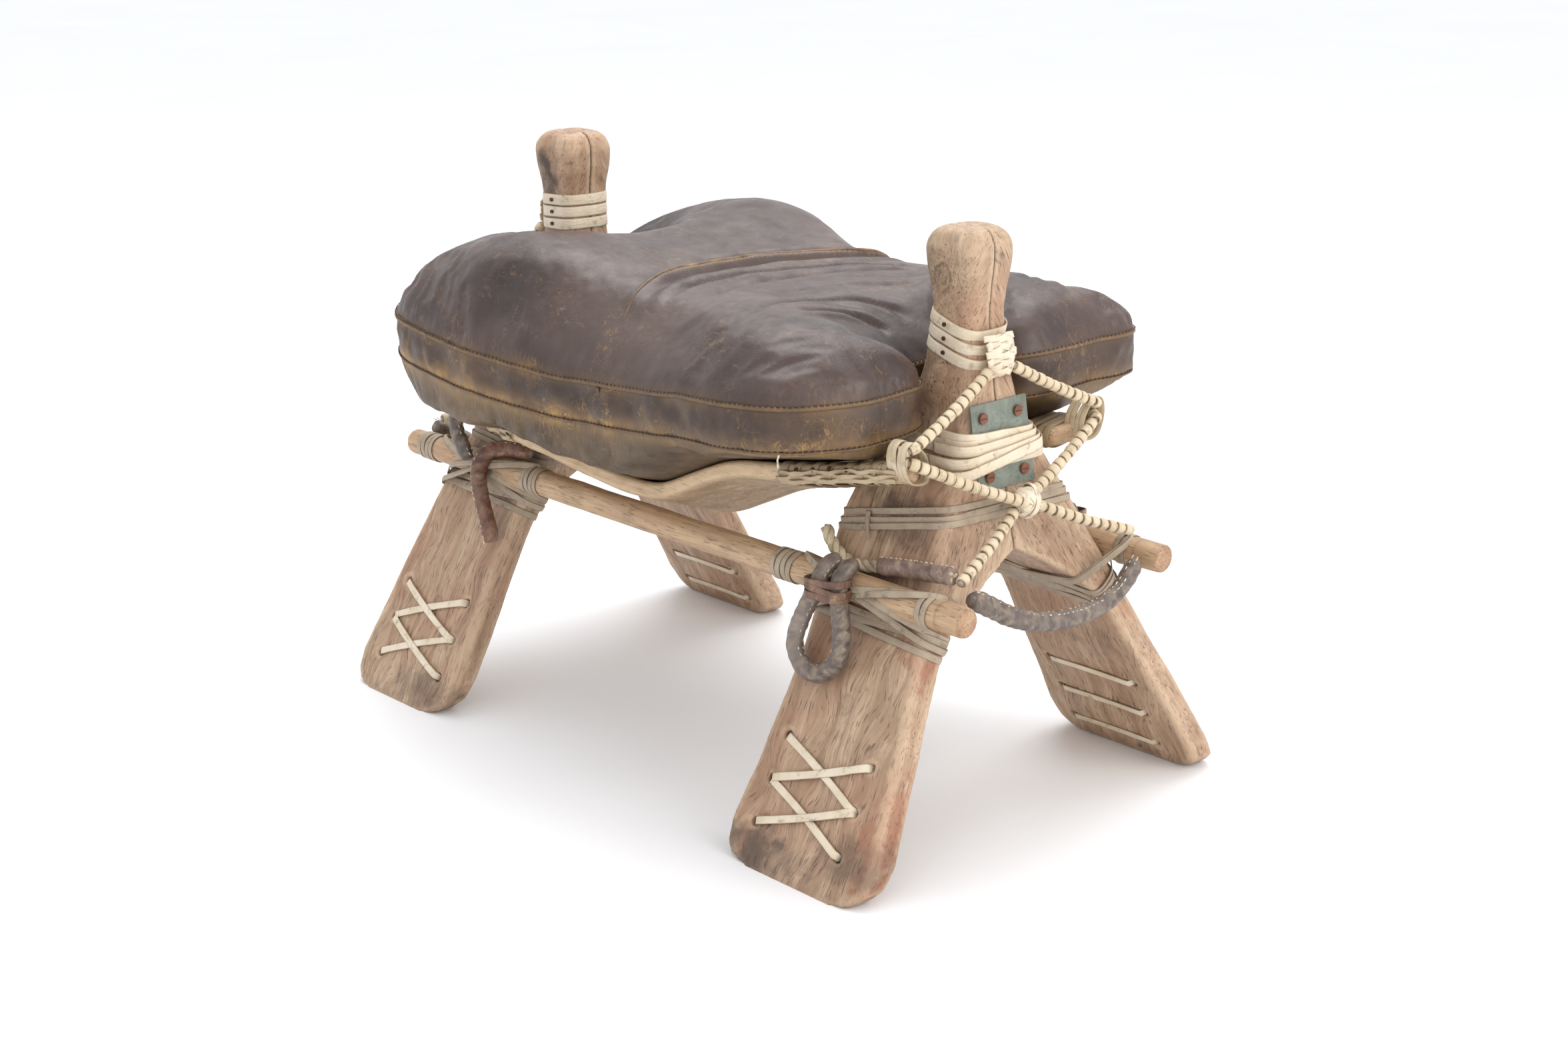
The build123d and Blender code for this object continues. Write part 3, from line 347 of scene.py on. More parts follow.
def new_piece(name, points, faces, *materials, smooth=True, corner_places=None):
    """A mesh object made from points and faces, with its materials and UV places."""
    mesh = bpy.data.meshes.new(name)
    mesh.from_pydata([tuple(p) for p in points], [], faces)
    if corner_places is not None:
        layer = mesh.uv_layers.new(name="UVMap")
        layer.data.foreach_set("uv", np.asarray(corner_places, np.float32).ravel())
    for material in materials:
        mesh.materials.append(material)
    piece = bpy.data.objects.new(name, mesh)
    bpy.context.scene.collection.objects.link(piece)
    if smooth:
        mesh.shade_smooth()
    return piece


def baked(piece):
    """Turns a piece and its live modifiers into one plain mesh."""
    evaluated = piece.evaluated_get(bpy.context.evaluated_depsgraph_get())
    mesh = bpy.data.meshes.new_from_object(evaluated)
    piece.modifiers.clear()
    piece.data = mesh
    return piece


def reworked(mesh, change):
    """Makes one bmesh change to a mesh."""
    work = bmesh.new()
    work.from_mesh(mesh)
    change(work)
    work.to_mesh(mesh)
    work.free()


def faced_out(piece):
    """Turns a closed piece's faces outwards."""
    reworked(piece.data, lambda work: bmesh.ops.recalc_face_normals(work, faces=work.faces))


def points_of(piece):
    mesh = piece.data
    points = np.empty(len(mesh.vertices) * 3)
    mesh.vertices.foreach_get("co", points)
    return points.reshape(-1, 3)


def set_points(piece, points):
    piece.data.vertices.foreach_set("co", np.asarray(points, float).ravel())
    piece.data.update()


def normals_of(piece):
    out = np.empty(len(piece.data.vertices) * 3)
    piece.data.vertices.foreach_get("normal", out)
    return out.reshape(-1, 3)


def paint(piece, name, rows, kind="FLOAT_COLOR"):
    """Stores a value for each point: marks for the materials, or places along the grain."""
    layer = piece.data.attributes.new(name, kind, "POINT")
    if kind == "FLOAT_COLOR":
        rows = np.column_stack([rows, np.ones(len(rows))])
        layer.data.foreach_set("color", rows.astype(np.float32).ravel())
    else:
        layer.data.foreach_set("vector", rows.astype(np.float32).ravel())


def ripple(points, scale, seed, depth=3):
    """Seeded soft noise at each point, about -1 to 1. Scale is in waves a metre."""
    shift = Vector((seed * 7.31, seed * 3.17, seed * 1.93))
    return np.array([noise.fractal(Vector(p) * scale + shift, 0.6, 2.0, depth) for p in points])


def soft_step(value, low, high):
    share = np.clip((value - low) / (high - low), 0, 1)
    return share * share * (3 - 2 * share)


def place_piece(piece, body, slot, *replaced):
    """Says what a piece moves with and which CAD nodes it stands for, which it hides. Its finish slot is not
    used.
    """
    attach(piece, body)
    if replaced:
        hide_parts(*replaced)
    return piece


# Strips, tubes and cords drawn along a line

def directions(points, closed):
    """Unit direction of a line at each of its points."""
    points = np.asarray(points)
    if closed:
        ahead = np.roll(points, -1, 0) - np.roll(points, 1, 0)
    else:
        ahead = np.gradient(points, axis=0)
    return ahead / np.maximum(np.linalg.norm(ahead, axis=1, keepdims=True), 1e-9)


def drawn(points, outs, profile, closed=False, sizes=None):
    """A profile of (across, out) places drawn along a line: points, faces and UV places."""
    points, outs = np.asarray(points, float), np.asarray(outs, float)
    ahead = directions(points, closed)
    outs = outs - ahead * np.sum(outs * ahead, axis=1, keepdims=True)
    outs = outs / np.maximum(np.linalg.norm(outs, axis=1, keepdims=True), 1e-9)
    sides = np.cross(ahead, outs)
    count, ring = len(points), len(profile)
    sizes = np.ones(count) if sizes is None else np.asarray(sizes)
    across = np.array([p[0] for p in profile])
    out = np.array([p[1] for p in profile])
    made = (points[:, None, :] + sides[:, None, :] * (across[None, :, None] * sizes[:, None, None])
            + outs[:, None, :] * (out[None, :, None] * sizes[:, None, None]))
    steps = np.linalg.norm(np.diff(points, axis=0, append=points[:1]), axis=1)
    run = np.concatenate([[0], np.cumsum(steps)])
    low, high = across.min(), across.max()
    share = (across - low) / max(high - low, 1e-9)
    faces, places = [], []
    last = count if closed else count - 1
    for i in range(last):
        a, b = i * ring, ((i + 1) % count) * ring
        for j in range(ring):
            k = (j + 1) % ring
            faces.append((a + j, b + j, b + k, a + k))
            places += [(run[i], share[j]), (run[i + 1], share[j]), (run[i + 1], share[k]), (run[i], share[k])]
    if not closed:
        faces.append(tuple(range(ring)))
        places += [(0, s) for s in share]
        end = (count - 1) * ring
        faces.append(tuple(range(end + ring - 1, end - 1, -1)))
        places += [(run[count - 1], s) for s in share[::-1]]
    return made.reshape(-1, 3), faces, places


def joined(name, parts, material):
    """One piece from several drawn parts, with its faces turned outwards."""
    points, faces, places, start = [], [], [], 0
    for part_points, part_faces, part_places in parts:
        points.append(part_points)
        faces += [tuple(i + start for i in face) for face in part_faces]
        places += part_places
        start += len(part_points)
    piece = new_piece(name, np.vstack(points), faces, material, corner_places=places)
    faced_out(piece)
    return piece


def strip_profile(width, thick):
    """Flat strip with rounded edges and a slight dome; it stands on its line."""
    half = width / 2
    return [(-half, 0.3 * thick), (-0.95 * half, 0.9 * thick), (-0.7 * half, 1.04 * thick), (0, 1.08 * thick),
            (0.7 * half, 1.04 * thick), (0.95 * half, 0.9 * thick), (half, 0.3 * thick), (0.8 * half, 0),
            (-0.8 * half, 0)]


def round_profile(radius, sides=12):
    return [(radius * math.sin(2 * math.pi * i / sides), radius * math.cos(2 * math.pi * i / sides))
            for i in range(sides)]


def resampled(points, step, closed):
    """Even points along a line."""
    points = np.asarray(points, float)
    if closed:
        points = np.vstack([points, points[:1]])
    run = np.concatenate([[0], np.cumsum(np.linalg.norm(np.diff(points, axis=0), axis=1))])
    count = max(3, int(round(run[-1] / step)))
    marks = np.linspace(0, run[-1], count + 1)
    if closed:
        marks = marks[:-1]
    return np.column_stack([np.interp(marks, run, points[:, i]) for i in range(3)])


def softened(points, rounds, closed):
    for _ in range(rounds):
        if closed:
            points = (np.roll(points, 1, 0) + 2 * points + np.roll(points, -1, 0)) / 4
        else:
            points = np.vstack([points[:1], (points[:-2] + 2 * points[1:-1] + points[2:]) / 4, points[-1:]])
    return points


def strip(points, outs, width, thick, closed=False, seed=0, uneven=0.08):
    """One strip of hide along a line, a little wider here and narrower there."""
    sizes = 1 + uneven * ripple(points, 60, seed, 1)
    return drawn(points, outs, strip_profile(width, thick), closed, sizes)


cuts = {}


def cut_line(pieces, centre, normal, near=None):
    """Points where a plane cuts the given pieces."""
    found = []
    for piece in pieces:
        if piece.name not in cuts:
            edges = np.empty(len(piece.data.edges) * 2, np.int32)
            piece.data.edges.foreach_get("vertices", edges)
            cuts[piece.name] = points_of(piece), edges.reshape(-1, 2)
        points, edges = cuts[piece.name]
        height = (points - centre) @ normal
        a, b = height[edges[:, 0]], height[edges[:, 1]]
        hits = a * b < 0
        share = (a[hits] / (a[hits] - b[hits]))[:, None]
        found.append(points[edges[hits, 0]] * (1 - share) + points[edges[hits, 1]] * share)
    found = np.vstack(found)
    if near is not None:
        found = found[near(found)]
    return found


def taut(pieces, centre, normal, lift, near=None, step=2.6 * MM, sway=0.5 * MM, seed=0):
    """Closed line pulled tight round pieces in a plane, and its outward directions."""
    centre, normal = np.asarray(centre, float), np.asarray(normal, float)
    normal = normal / np.linalg.norm(normal)
    found = cut_line(pieces, centre, normal, near)
    first = np.cross(normal, (0.0, 0.0, 1.0) if abs(normal[2]) < 0.9 else (1.0, 0.0, 0.0))
    first /= np.linalg.norm(first)
    second = np.cross(normal, first)
    flat = np.column_stack([(found - centre) @ first, (found - centre) @ second])
    flat = sorted(set(map(tuple, np.round(flat, 6))))

    def half(rows):
        kept = []
        for p in rows:
            while len(kept) > 1 and ((kept[-1][0] - kept[-2][0]) * (p[1] - kept[-2][1])
                                     - (kept[-1][1] - kept[-2][1]) * (p[0] - kept[-2][0])) <= 0:
                kept.pop()
            kept.append(p)
        return kept[:-1]

    hull = np.array(half(flat) + half(flat[::-1]))
    line = centre + hull[:, :1] * first + hull[:, 1:] * second
    line = softened(resampled(line, step, True), 3, True)
    outs = np.cross(directions(line, True), normal)
    line = line + outs * lift + normal * (sway * ripple(line, 25, seed, 2))[:, None]
    return line, outs


def part_of(line, outs, keep):
    """The one open stretch of a closed line whose points are kept."""
    flags = [bool(keep(p)) for p in line]
    if all(flags):
        return line, outs
    start = next(i for i in range(len(flags)) if flags[i] and not flags[i - 1])
    order = [(start + i) % len(flags) for i in range(len(flags))]
    stop = next(i for i, k in enumerate(order) if not flags[k])
    return line[order[:stop]], outs[order[:stop]]


def nurbs_line(route):
    """Even points read from a smooth cord line whose control points are the route, in metres."""
    data = bpy.data.curves.new("cord_line", "CURVE")
    data.dimensions, data.resolution_u = "3D", 24
    spline = data.splines.new("NURBS")
    spline.points.add(len(route) - 1)
    for point, place in zip(spline.points, route):
        point.co = (*place, 1)
    spline.order_u = 3
    spline.use_endpoint_u = True
    holder = bpy.data.objects.new("cord_line", data)
    bpy.context.scene.collection.objects.link(holder)
    mesh = bpy.data.meshes.new_from_object(holder.evaluated_get(bpy.context.evaluated_depsgraph_get()))
    points = np.array([v.co for v in mesh.vertices])
    bpy.data.objects.remove(holder)
    bpy.data.curves.remove(data)
    bpy.data.meshes.remove(mesh)
    return resampled(points, 2 * MM, False)


def carried(points, start):
    """A direction carried along a line without twisting, from a first one."""
    ahead = directions(points, False)
    outs, out = [], np.asarray(start, float)
    for direction in ahead:
        out = out - direction * np.dot(out, direction)
        out = out / np.linalg.norm(out)
        outs.append(out)
    return np.array(outs)


# Copies of one small piece along a line, with Geometry Nodes

def copies_tree():
    """Lays copies of a piece evenly along a line, turned to it and to the surface, each a bit different."""
    tree = bpy.data.node_groups.new("copies_along_a_line", "GeometryNodeTree")
    face = tree.interface
    face.new_socket("Line", in_out="INPUT", socket_type="NodeSocketGeometry")
    for name, kind in (("Copy", "Object"), ("Spacing", "Float"), ("Unevenness", "Float"), ("Sway", "Float"),
                       ("Seed", "Int"), ("Finish", "Material")):
        face.new_socket(name, in_out="INPUT", socket_type="NodeSocket" + kind)
    face.new_socket("Copies", in_out="OUTPUT", socket_type="NodeSocketGeometry")
    given = put(tree, "NodeGroupInput").outputs
    curve = put(tree, "GeometryNodeMeshToCurve", {0: given["Line"]}).outputs[0]
    even = put(tree, "GeometryNodeResampleCurve", {"Curve": curve, "Length": given["Spacing"]}, mode="LENGTH")
    ahead = put(tree, "GeometryNodeInputTangent").outputs[0]
    out = put(tree, "GeometryNodeInputNamedAttribute", {"Name": "out"}, data_type="FLOAT_VECTOR").outputs[0]
    turn = put(tree, "FunctionNodeAlignRotationToVector", {"Vector": ahead}, axis="X").outputs[0]
    turn = put(tree, "FunctionNodeAlignRotationToVector", {"Rotation": turn, "Vector": out}, axis="Z",
               pivot_axis="X")
    low = put(tree, "ShaderNodeMath", {0: 1.0, 1: given["Unevenness"]}, operation="SUBTRACT").outputs[0]
    high = put(tree, "ShaderNodeMath", {0: 1.0, 1: given["Unevenness"]}, operation="ADD").outputs[0]
    size = put(tree, "FunctionNodeRandomValue", {"Min": low, "Max": high, "Seed": given["Seed"]},
               data_type="FLOAT_VECTOR")
    back = put(tree, "ShaderNodeMath", {0: given["Sway"], 1: -1.0}, operation="MULTIPLY").outputs[0]
    lean = put(tree, "FunctionNodeRandomValue", {"Min": back, "Max": given["Sway"], "Seed": given["Seed"]},
               data_type="FLOAT_VECTOR")
    tilt = put(tree, "FunctionNodeEulerToRotation", {0: lean.outputs[0]}).outputs[0]
    turn = put(tree, "FunctionNodeRotateRotation", {0: turn.outputs[0], 1: tilt},
               rotation_space="LOCAL").outputs[0]
    shape = put(tree, "GeometryNodeObjectInfo", {"Object": given["Copy"]}).outputs["Geometry"]
    laid = put(tree, "GeometryNodeInstanceOnPoints",
               {"Points": even.outputs[0], "Instance": shape, "Rotation": turn,
                "Scale": size.outputs[0]}).outputs[0]
    real = put(tree, "GeometryNodeRealizeInstances", {0: laid}).outputs[0]
    done = put(tree, "GeometryNodeSetMaterial", {"Geometry": real, "Material": given["Finish"]}).outputs[0]
    put(tree, "NodeGroupOutput", {0: done})
    return tree


COPIES = copies_tree()


def copies(name, lines, copy, spacing, material, uneven=0.1, sway=0.1, seed=1):
    """A piece made of copies along lines, each given as points, outward directions and whether it closes."""
    points, edges, outs, start = [], [], [], 0
    for line, out, closed in lines:
        count = len(line)
        points.append(np.asarray(line))
        outs.append(np.asarray(out))
        edges += [(start + i, start + i + 1) for i in range(count - 1)]
        if closed:
            edges.append((start + count - 1, start))
        start += count
    mesh = bpy.data.meshes.new(name)
    mesh.from_pydata([tuple(p) for p in np.vstack(points)], edges, [])
    piece = bpy.data.objects.new(name, mesh)
    bpy.context.scene.collection.objects.link(piece)
    paint(piece, "out", np.vstack(outs), "FLOAT_VECTOR")
    modifier = piece.modifiers.new("copies", "NODES")
    modifier.node_group = COPIES
    values = {"Copy": copy, "Spacing": spacing, "Unevenness": uneven, "Sway": sway, "Seed": seed,
              "Finish": material}
    for item in COPIES.interface.items_tree:
        if item.name in values:
            modifier[item.identifier] = values[item.name]
    baked(piece)
    piece.data.shade_smooth()
    return piece


def small_shape(name, points, faces):
    """A hidden shape that the copies are made from."""
    piece = new_piece(name, points, faces, corner_places=[(0.5, 0.5)] * sum(len(f) for f in faces))
    bpy.context.scene.collection.objects.unlink(piece)
    return piece


def tack_shape():
    """A domed nail head that points up."""
    points, faces = ball(np.array([0, 0, 0.2 * MM]), np.array([2.0, 2.0, 1.0]) * MM, 5, 10)
    return small_shape("tack_head", points, faces)


def stitch_shape(length, thick):
    """One stitch: a short round-backed thread that dips at both ends."""
    xs = [-0.5, -0.35, 0, 0.35, 0.5]
    line = [(x * length, 0, thick * (0.45 - 2.4 * x * x)) for x in xs]
    made = drawn(line, [(0, 0, 1)] * 5, round_profile(thick / 2, 6), False, [0.6, 1, 1.05, 1, 0.6])
    return small_shape("stitch", made[0], made[1])


def coil_shape(radius, width, thick):
    """One flat turn of hide round a cord that runs along X."""
    profile = [(-width / 2, 0), (-0.42 * width, 0.8 * thick), (0, thick), (0.42 * width, 0.8 * thick),
               (width / 2, 0)]
    angles = [2 * math.pi * i / 14 for i in range(14)]
    points = [(a, (radius + o) * math.cos(t), (radius + o) * math.sin(t)) for t in angles for a, o in profile]
    faces = [(i * 5 + j, i * 5 + j + 1, ((i + 1) % 14) * 5 + j + 1, ((i + 1) % 14) * 5 + j)
             for i in range(14) for j in range(4)]
    faces += [(i * 5 + 4, i * 5, ((i + 1) % 14) * 5, ((i + 1) % 14) * 5 + 4) for i in range(14)]
    piece = small_shape("coil_turn", points, faces)
    share = [(a / width + 0.5) for t in angles for a, o in profile]
    run = [t * radius for t in angles for _ in profile]
    layer = piece.data.uv_layers[0]
    for loop in piece.data.loops:
        layer.data[loop.index].uv = (run[loop.vertex_index], share[loop.vertex_index])
    faced_out(piece)
    return piece


# Wood

def mirrored(points, end, side):
    """Points drawn at the front right, at another corner."""
    points = np.array(points, float)
    points[:, 0] *= ENDS[end]
    points[:, 1] *= -SIDES[side]
    return points


def hewn(name, node, voxel, rounds):
    """Even-skinned copy of a CAD piece, ready to be carved."""
    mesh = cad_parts[node].data.copy()
    reworked(mesh, lambda work: bmesh.ops.remove_doubles(work, verts=work.verts, dist=0.01 * MM))
    mesh.materials.clear()
    piece = bpy.data.objects.new(name, mesh)
    bpy.context.scene.collection.objects.link(piece)
    skin = piece.modifiers.new("even skin", "REMESH")
    skin.mode, skin.voxel_size = "VOXEL", voxel
    soft = piece.modifiers.new("softened", "SMOOTH")
    soft.factor, soft.iterations = 0.5, rounds
    baked(piece)
    piece.data.shade_smooth()
    return piece


def blots(points, rows, seed):
    """Painted patches: rows of centre, size along each axis and strength, with ragged edges."""
    ragged = ripple(points, 55, seed, 4) * 0.45
    shade = np.zeros(len(points))
    for centre, size, strength in rows:
        far = np.linalg.norm((points - np.array(centre) * MM) / (np.array(size) * MM), axis=1) + ragged
        shade = np.maximum(shade, strength * (1 - soft_step(far, 0.55, 1.15)))
    return shade


def hollows(piece):
    """How hollow or how raised each point is, from the average of its neighbours: about -1 to 1."""
    points, out = points_of(piece), normals_of(piece)
    edges = np.empty(len(piece.data.edges) * 2, np.int32)
    piece.data.edges.foreach_get("vertices", edges)
    edges = edges.reshape(-1, 2)
    total, count = np.zeros_like(points), np.zeros(len(points))
    for a, b in ((0, 1), (1, 0)):
        np.add.at(total, edges[:, a], points[edges[:, b]])
        np.add.at(count, edges[:, a], 1)
    middle = total / np.maximum(count, 1)[:, None]
    bend = np.sum((middle - points) * out, axis=1)
    for _ in range(3):
        spread = np.zeros(len(points))
        np.add.at(spread, edges[:, 0], bend[edges[:, 1]])
        np.add.at(spread, edges[:, 1], bend[edges[:, 0]])
        bend = (bend + spread / np.maximum(count, 1)) / 2
    return np.clip(bend / (0.12 * MM), -1, 1)


leg_stains = {
    (FRONT, RIGHT): [((262, -70, 265), (45, 40, 25), 0.75), ((330, -190, 30), (60, 60, 20), 0.5),
                     ((250, -120, 215), (60, 30, 30), 0.6), ((230, -210, 12), (60, 30, 22), 0.8),
                     ((238, -29, 452), (14, 14, 34), 0.45), ((238, -44, 385), (20, 20, 75), 0.35)],
    (FRONT, LEFT): [((300, 150, 120), (40, 60, 20), 0.35), ((255, 90, 215), (60, 30, 30), 0.6)],
    (REAR, RIGHT): [((-262, -27, 468), (17, 11, 30), 0.95), ((-262, -100, 205), (60, 40, 25), 0.6),
                    ((-240, -205, 15), (60, 30, 18), 0.55)],
    (REAR, LEFT): [((-250, 110, 205), (60, 40, 25), 0.55), ((-262, 25, 480), (12, 12, 30), 0.4)],
}
# Knots: centre, radius and strength, in millimetres
leg_knots = {
    (FRONT, RIGHT): [((252, -29, 449), 9, 0.9), ((270, -150, 130), 7, 0.5)],
    (FRONT, LEFT): [((284, 4, 466), 4, 0.8)],
    (REAR, RIGHT): [((-262, -175, 90), 7, 0.5)],
    (REAR, LEFT): [((-250, 150, 120), 8, 0.5)],
}
leg_rust = {
    (FRONT, RIGHT): [((325, -118, 195), (30, 35, 45), 0.9), ((352, -190, 60), (20, 60, 60), 0.75),
                     ((225, -125, 180), (25, 25, 30), 0.45)],
    (FRONT, LEFT): [((330, 110, 180), (30, 30, 40), 0.4)],
    (REAR, RIGHT): [((-330, -150, 130), (25, 60, 70), 0.4)],
    (REAR, LEFT): [((-330, 150, 130), (25, 60, 70), 0.4)],
}


def carve_leg(end, side):
    """A leg with its half of the post: knife facets, softened edges, stains and knots."""
    node = f"{end}_{side}_leg"
    piece = hewn(node + "_wood", node, 2.2 * MM, 3)
    points, out = points_of(piece), normals_of(piece)
    seed = 3 + 5 * (end == REAR) + 11 * (side == LEFT)
    facets = ripple(points * np.array([1, 0.5, 0.5]), 28, seed, 2)
    nicks = ripple(points, 110, seed + 1, 2)
    split = soft_step(np.abs(points[:, 1]), 0.2 * MM, 4 * MM)
    move = (0.9 * facets + 0.22 * nicks) * MM * split
    move = np.where(points[:, 2] < 3 * MM, 0, move)
    points = points + out * move[:, None]
    points[:, 2] = np.maximum(points[:, 2], 0)
    set_points(piece, points)
    bend = hollows(piece)
    z = points[:, 2]
    along = np.where(z < FORK_Z, z / math.cos(SPLAY), (z - FORK_Z) + FORK_Z / math.cos(SPLAY))
    depth = np.abs(points[:, 1]) + z * SLOPE
    paint(piece, "grain", np.column_stack([points[:, 0] + 0.01 * facets, along + seed, depth]),
          "FLOAT_VECTOR")
    stain = blots(points, leg_stains[end, side], seed)
    for centre, radius, strength in leg_knots[end, side]:
        far = np.linalg.norm((points - np.array(centre) * MM) * [1, 1, 0.8], axis=1) / (radius * MM)
        far = far + 0.12 * nicks
        outer, inner = np.exp(-((far - 1) / 0.16) ** 2), 0.8 * np.exp(-((far - 0.55) / 0.12) ** 2)
        rings = outer + inner + np.exp(-(far / 0.25) ** 2)
        stain = np.maximum(stain, strength * np.clip(rings, 0, 1))
    stain = np.maximum(stain, 0.5 * soft_step(bend, 0.15, 0.9))
    # Darker towards the foot, in the lowest 14 mm.
    stain = np.maximum(stain, 0.3 * (1 - soft_step(z, 0, 14 * MM)))
    stain = np.maximum(stain, 0.8 * (1 - soft_step(np.abs(points[:, 1]), 0, 1.6 * MM)) * (z > 0.2))
    rust = blots(points, leg_rust[end, side], seed + 2)
    worn = 0.55 * soft_step(-bend, 0.2, 0.9)
    paint(piece, "marks", np.column_stack([stain, rust, worn]))
    piece.data.materials.append(carved_wood)
    return place_piece(piece, "frame", "carved_wood", node)


def carve_board(side):
    """A scooped side board with an adzed underside."""
    node = f"{side}_side_board"
    piece = hewn(node + "_wood", node, 2.4 * MM, 3)
    points, out = points_of(piece), normals_of(piece)
    adzed = ripple(points * np.array([0.6, 1, 1]), 26, 31 + (side == LEFT), 2)
    points = points + out * (0.7 * adzed * MM)[:, None]
    set_points(piece, points)
    bend = hollows(piece)
    paint(piece, "grain", np.column_stack([points[:, 1], points[:, 0] + 2, points[:, 2]]), "FLOAT_VECTOR")
    under = soft_step(-out[:, 2], 0.1, 0.7)
    outer = soft_step(np.abs(points[:, 1]), 128 * MM, 140 * MM) * (1 - under)
    # Darker on the faces turned down, and in hollows.
    stain = 0.4 * under * (0.7 + 0.3 * adzed) + 0.3 * soft_step(bend, 0.2, 0.9)
    worn = np.clip(0.5 * soft_step(-bend, 0.2, 0.9) + 0.5 * outer, 0, 1)
    paint(piece, "marks", np.column_stack([np.clip(stain, 0, 1), 0.2 * outer, worn]))
    piece.data.materials.append(board_wood)
    return place_piece(piece, "frame", "pale_wood", node)


def peel_rod(side):
    """A peeled branch: slight bends and swellings, whittled ends with a darker ring."""
    node = f"{side}_rod"
    piece = hewn(node + "_wood", node, 1.8 * MM, 2)
    points, out = points_of(piece), normals_of(piece)
    seed = 41 + (side == LEFT)
    xs = points[:, 0]
    swell = ripple(np.column_stack([xs, xs * 0, xs * 0]), 9, seed, 2) * 0.5
    facets = ripple(points * np.array([0.35, 1, 1]), 70, seed + 1, 2) * 0.5
    round_face = soft_step(ROD_HALF - np.abs(xs), 0, 3 * MM)
    points = points + out * ((swell + facets - 0.4) * MM * round_face)[:, None]
    set_points(piece, points)
    paint(piece, "grain", np.column_stack([points[:, 1], xs + 5, points[:, 2]]), "FLOAT_VECTOR")
    ends = soft_step(np.abs(xs), ROD_HALF - 2 * MM, ROD_HALF)
    middle = np.hypot(np.abs(points[:, 1]) - ROD_Y, points[:, 2] - ROD_Z)
    handled = soft_step(ripple(points, 30, seed + 3, 4), 0.2, 0.8)
    stain = ends * 0.35 * soft_step(middle, 8 * MM, 12 * MM) + 0.25 * handled
    stain = np.maximum(stain, 0.45 * np.exp(-((np.abs(xs) - 345 * MM) / (1.2 * MM)) ** 2))
    paint(piece, "marks", np.column_stack([stain, 0.5 * ends, 0.25 * (1 - ends)]))
    piece.data.materials.append(rod_wood)
    return place_piece(piece, "frame", "pale_wood", node)


# Cushion

CUSHION = {FRONT: 272 * MM, REAR: 295 * MM}
BAND, BELLY = 34 * MM, 88 * MM
NOTCH_X = 205 * MM
# Half widths and seam heights of the near and far side along X, in millimetres
near_side = [(-291, 150), (-286, 176), (-270, 195), (-235, 205), (-190, 210), (-140, 212), (-90, 208),
             (-40, 201),
             (10, 195), (60, 194), (110, 196), (160, 199), (205, 196), (238, 183), (258, 160), (269, 132)]
far_side = [(-291, 150), (-286, 174), (-270, 193), (-235, 203), (-190, 209), (-140, 212), (-90, 206),
            (-40, 194),
            (10, 185), (60, 186), (110, 193), (160, 202), (205, 207), (240, 206), (262, 199), (269, 186)]
near_seam = [(-295, 373), (-270, 366), (-200, 360), (-100, 354), (-20, 350), (50, 353), (150, 363),
             (272, 369)]
far_seam = [(-295, 370), (-200, 361), (0, 358), (100, 362), (200, 370), (272, 376)]
belly_shares = [(-1, 0.04), (-0.8, 0.16), (-0.5, 0.55), (-0.2, 0.92), (0, 1), (0.2, 0.93), (0.45, 0.5),
                (0.7, 0.14),
                (1, 0.04)]
flank_shares = [(-1, 0.15), (-0.85, 0.6), (-0.7, 0.9), (-0.5, 1), (0.42, 1), (0.6, 0.8), (0.8, 0.5), (1, 0.3)]
front_rise = [(0, 0), (0.12, 0.08), (0.257, 0.32), (0.387, 0.56), (0.51, 0.67), (0.63, 0.74), (0.83, 0.9),
              (1, 1)]
rear_rise = [(0, 0), (0.13, 0.12), (0.31, 0.44), (0.49, 0.76), (0.69, 0.87), (1, 1)]
# Rise of the top above its seam, away from the edges: place along X and Y, and the rise, in millimetres
crown_rows = [(-270, -120, 48), (-270, 120, 48), (-225, -130, 72), (-225, 130, 72), (-150, -130, 90),
              (-150, 130, 88), (-85, -130, 82), (-85, 130, 82), (-20, -120, 66), (-20, 120, 64), (0, 0, 62),
              (-90, 0, 70), (-160, 0, 78), (-190, -60, 80), (-190, 60, 80), (60, -110, 58), (60, 110, 54),
              (70, 0, 54), (130, -130, 54), (130, 130, 54), (150, 0, 46), (200, -120, 52), (200, 120, 50),
              (250, -110, 44), (250, 120, 44)]


def smooth(at, rows):
    """Value at each place on an even curve through the rows."""
    xs = np.array([r[0] for r in rows], float)
    ys = np.array([r[1] for r in rows], float)
    steps = np.diff(xs)
    grades = np.diff(ys) / steps
    ends = np.zeros(len(xs))
    ends[0], ends[-1] = grades[0], grades[-1]
    for i in range(1, len(grades)):
        if grades[i - 1] * grades[i] > 0:
            ends[i] = 2 * grades[i - 1] * grades[i] / (grades[i - 1] + grades[i])
    at = np.clip(at, xs[0], xs[-1])
    i = np.clip(np.searchsorted(xs, at, side="right") - 1, 0, len(steps) - 1)
    t = (at - xs[i]) / steps[i]
    start = ys[i] * (1 + 2 * t) * (1 - t) ** 2 + ys[i + 1] * t * t * (3 - 2 * t)
    return start + steps[i] * (ends[i] * t * (1 - t) ** 2 - ends[i + 1] * t * t * (1 - t))


def in_mm(rows):
    return [(a * MM, b * MM) for a, b in rows]


def seam_z(x, y):
    """Height of the top seam, which dips at the waist."""
    share = soft_step(y, -150 * MM, 150 * MM)
    return smooth(x, in_mm(near_seam)) * (1 - share) + smooth(x, in_mm(far_seam)) * share


def along_share(x):
    return np.where(x > 0, x / CUSHION[FRONT], x / CUSHION[REAR])


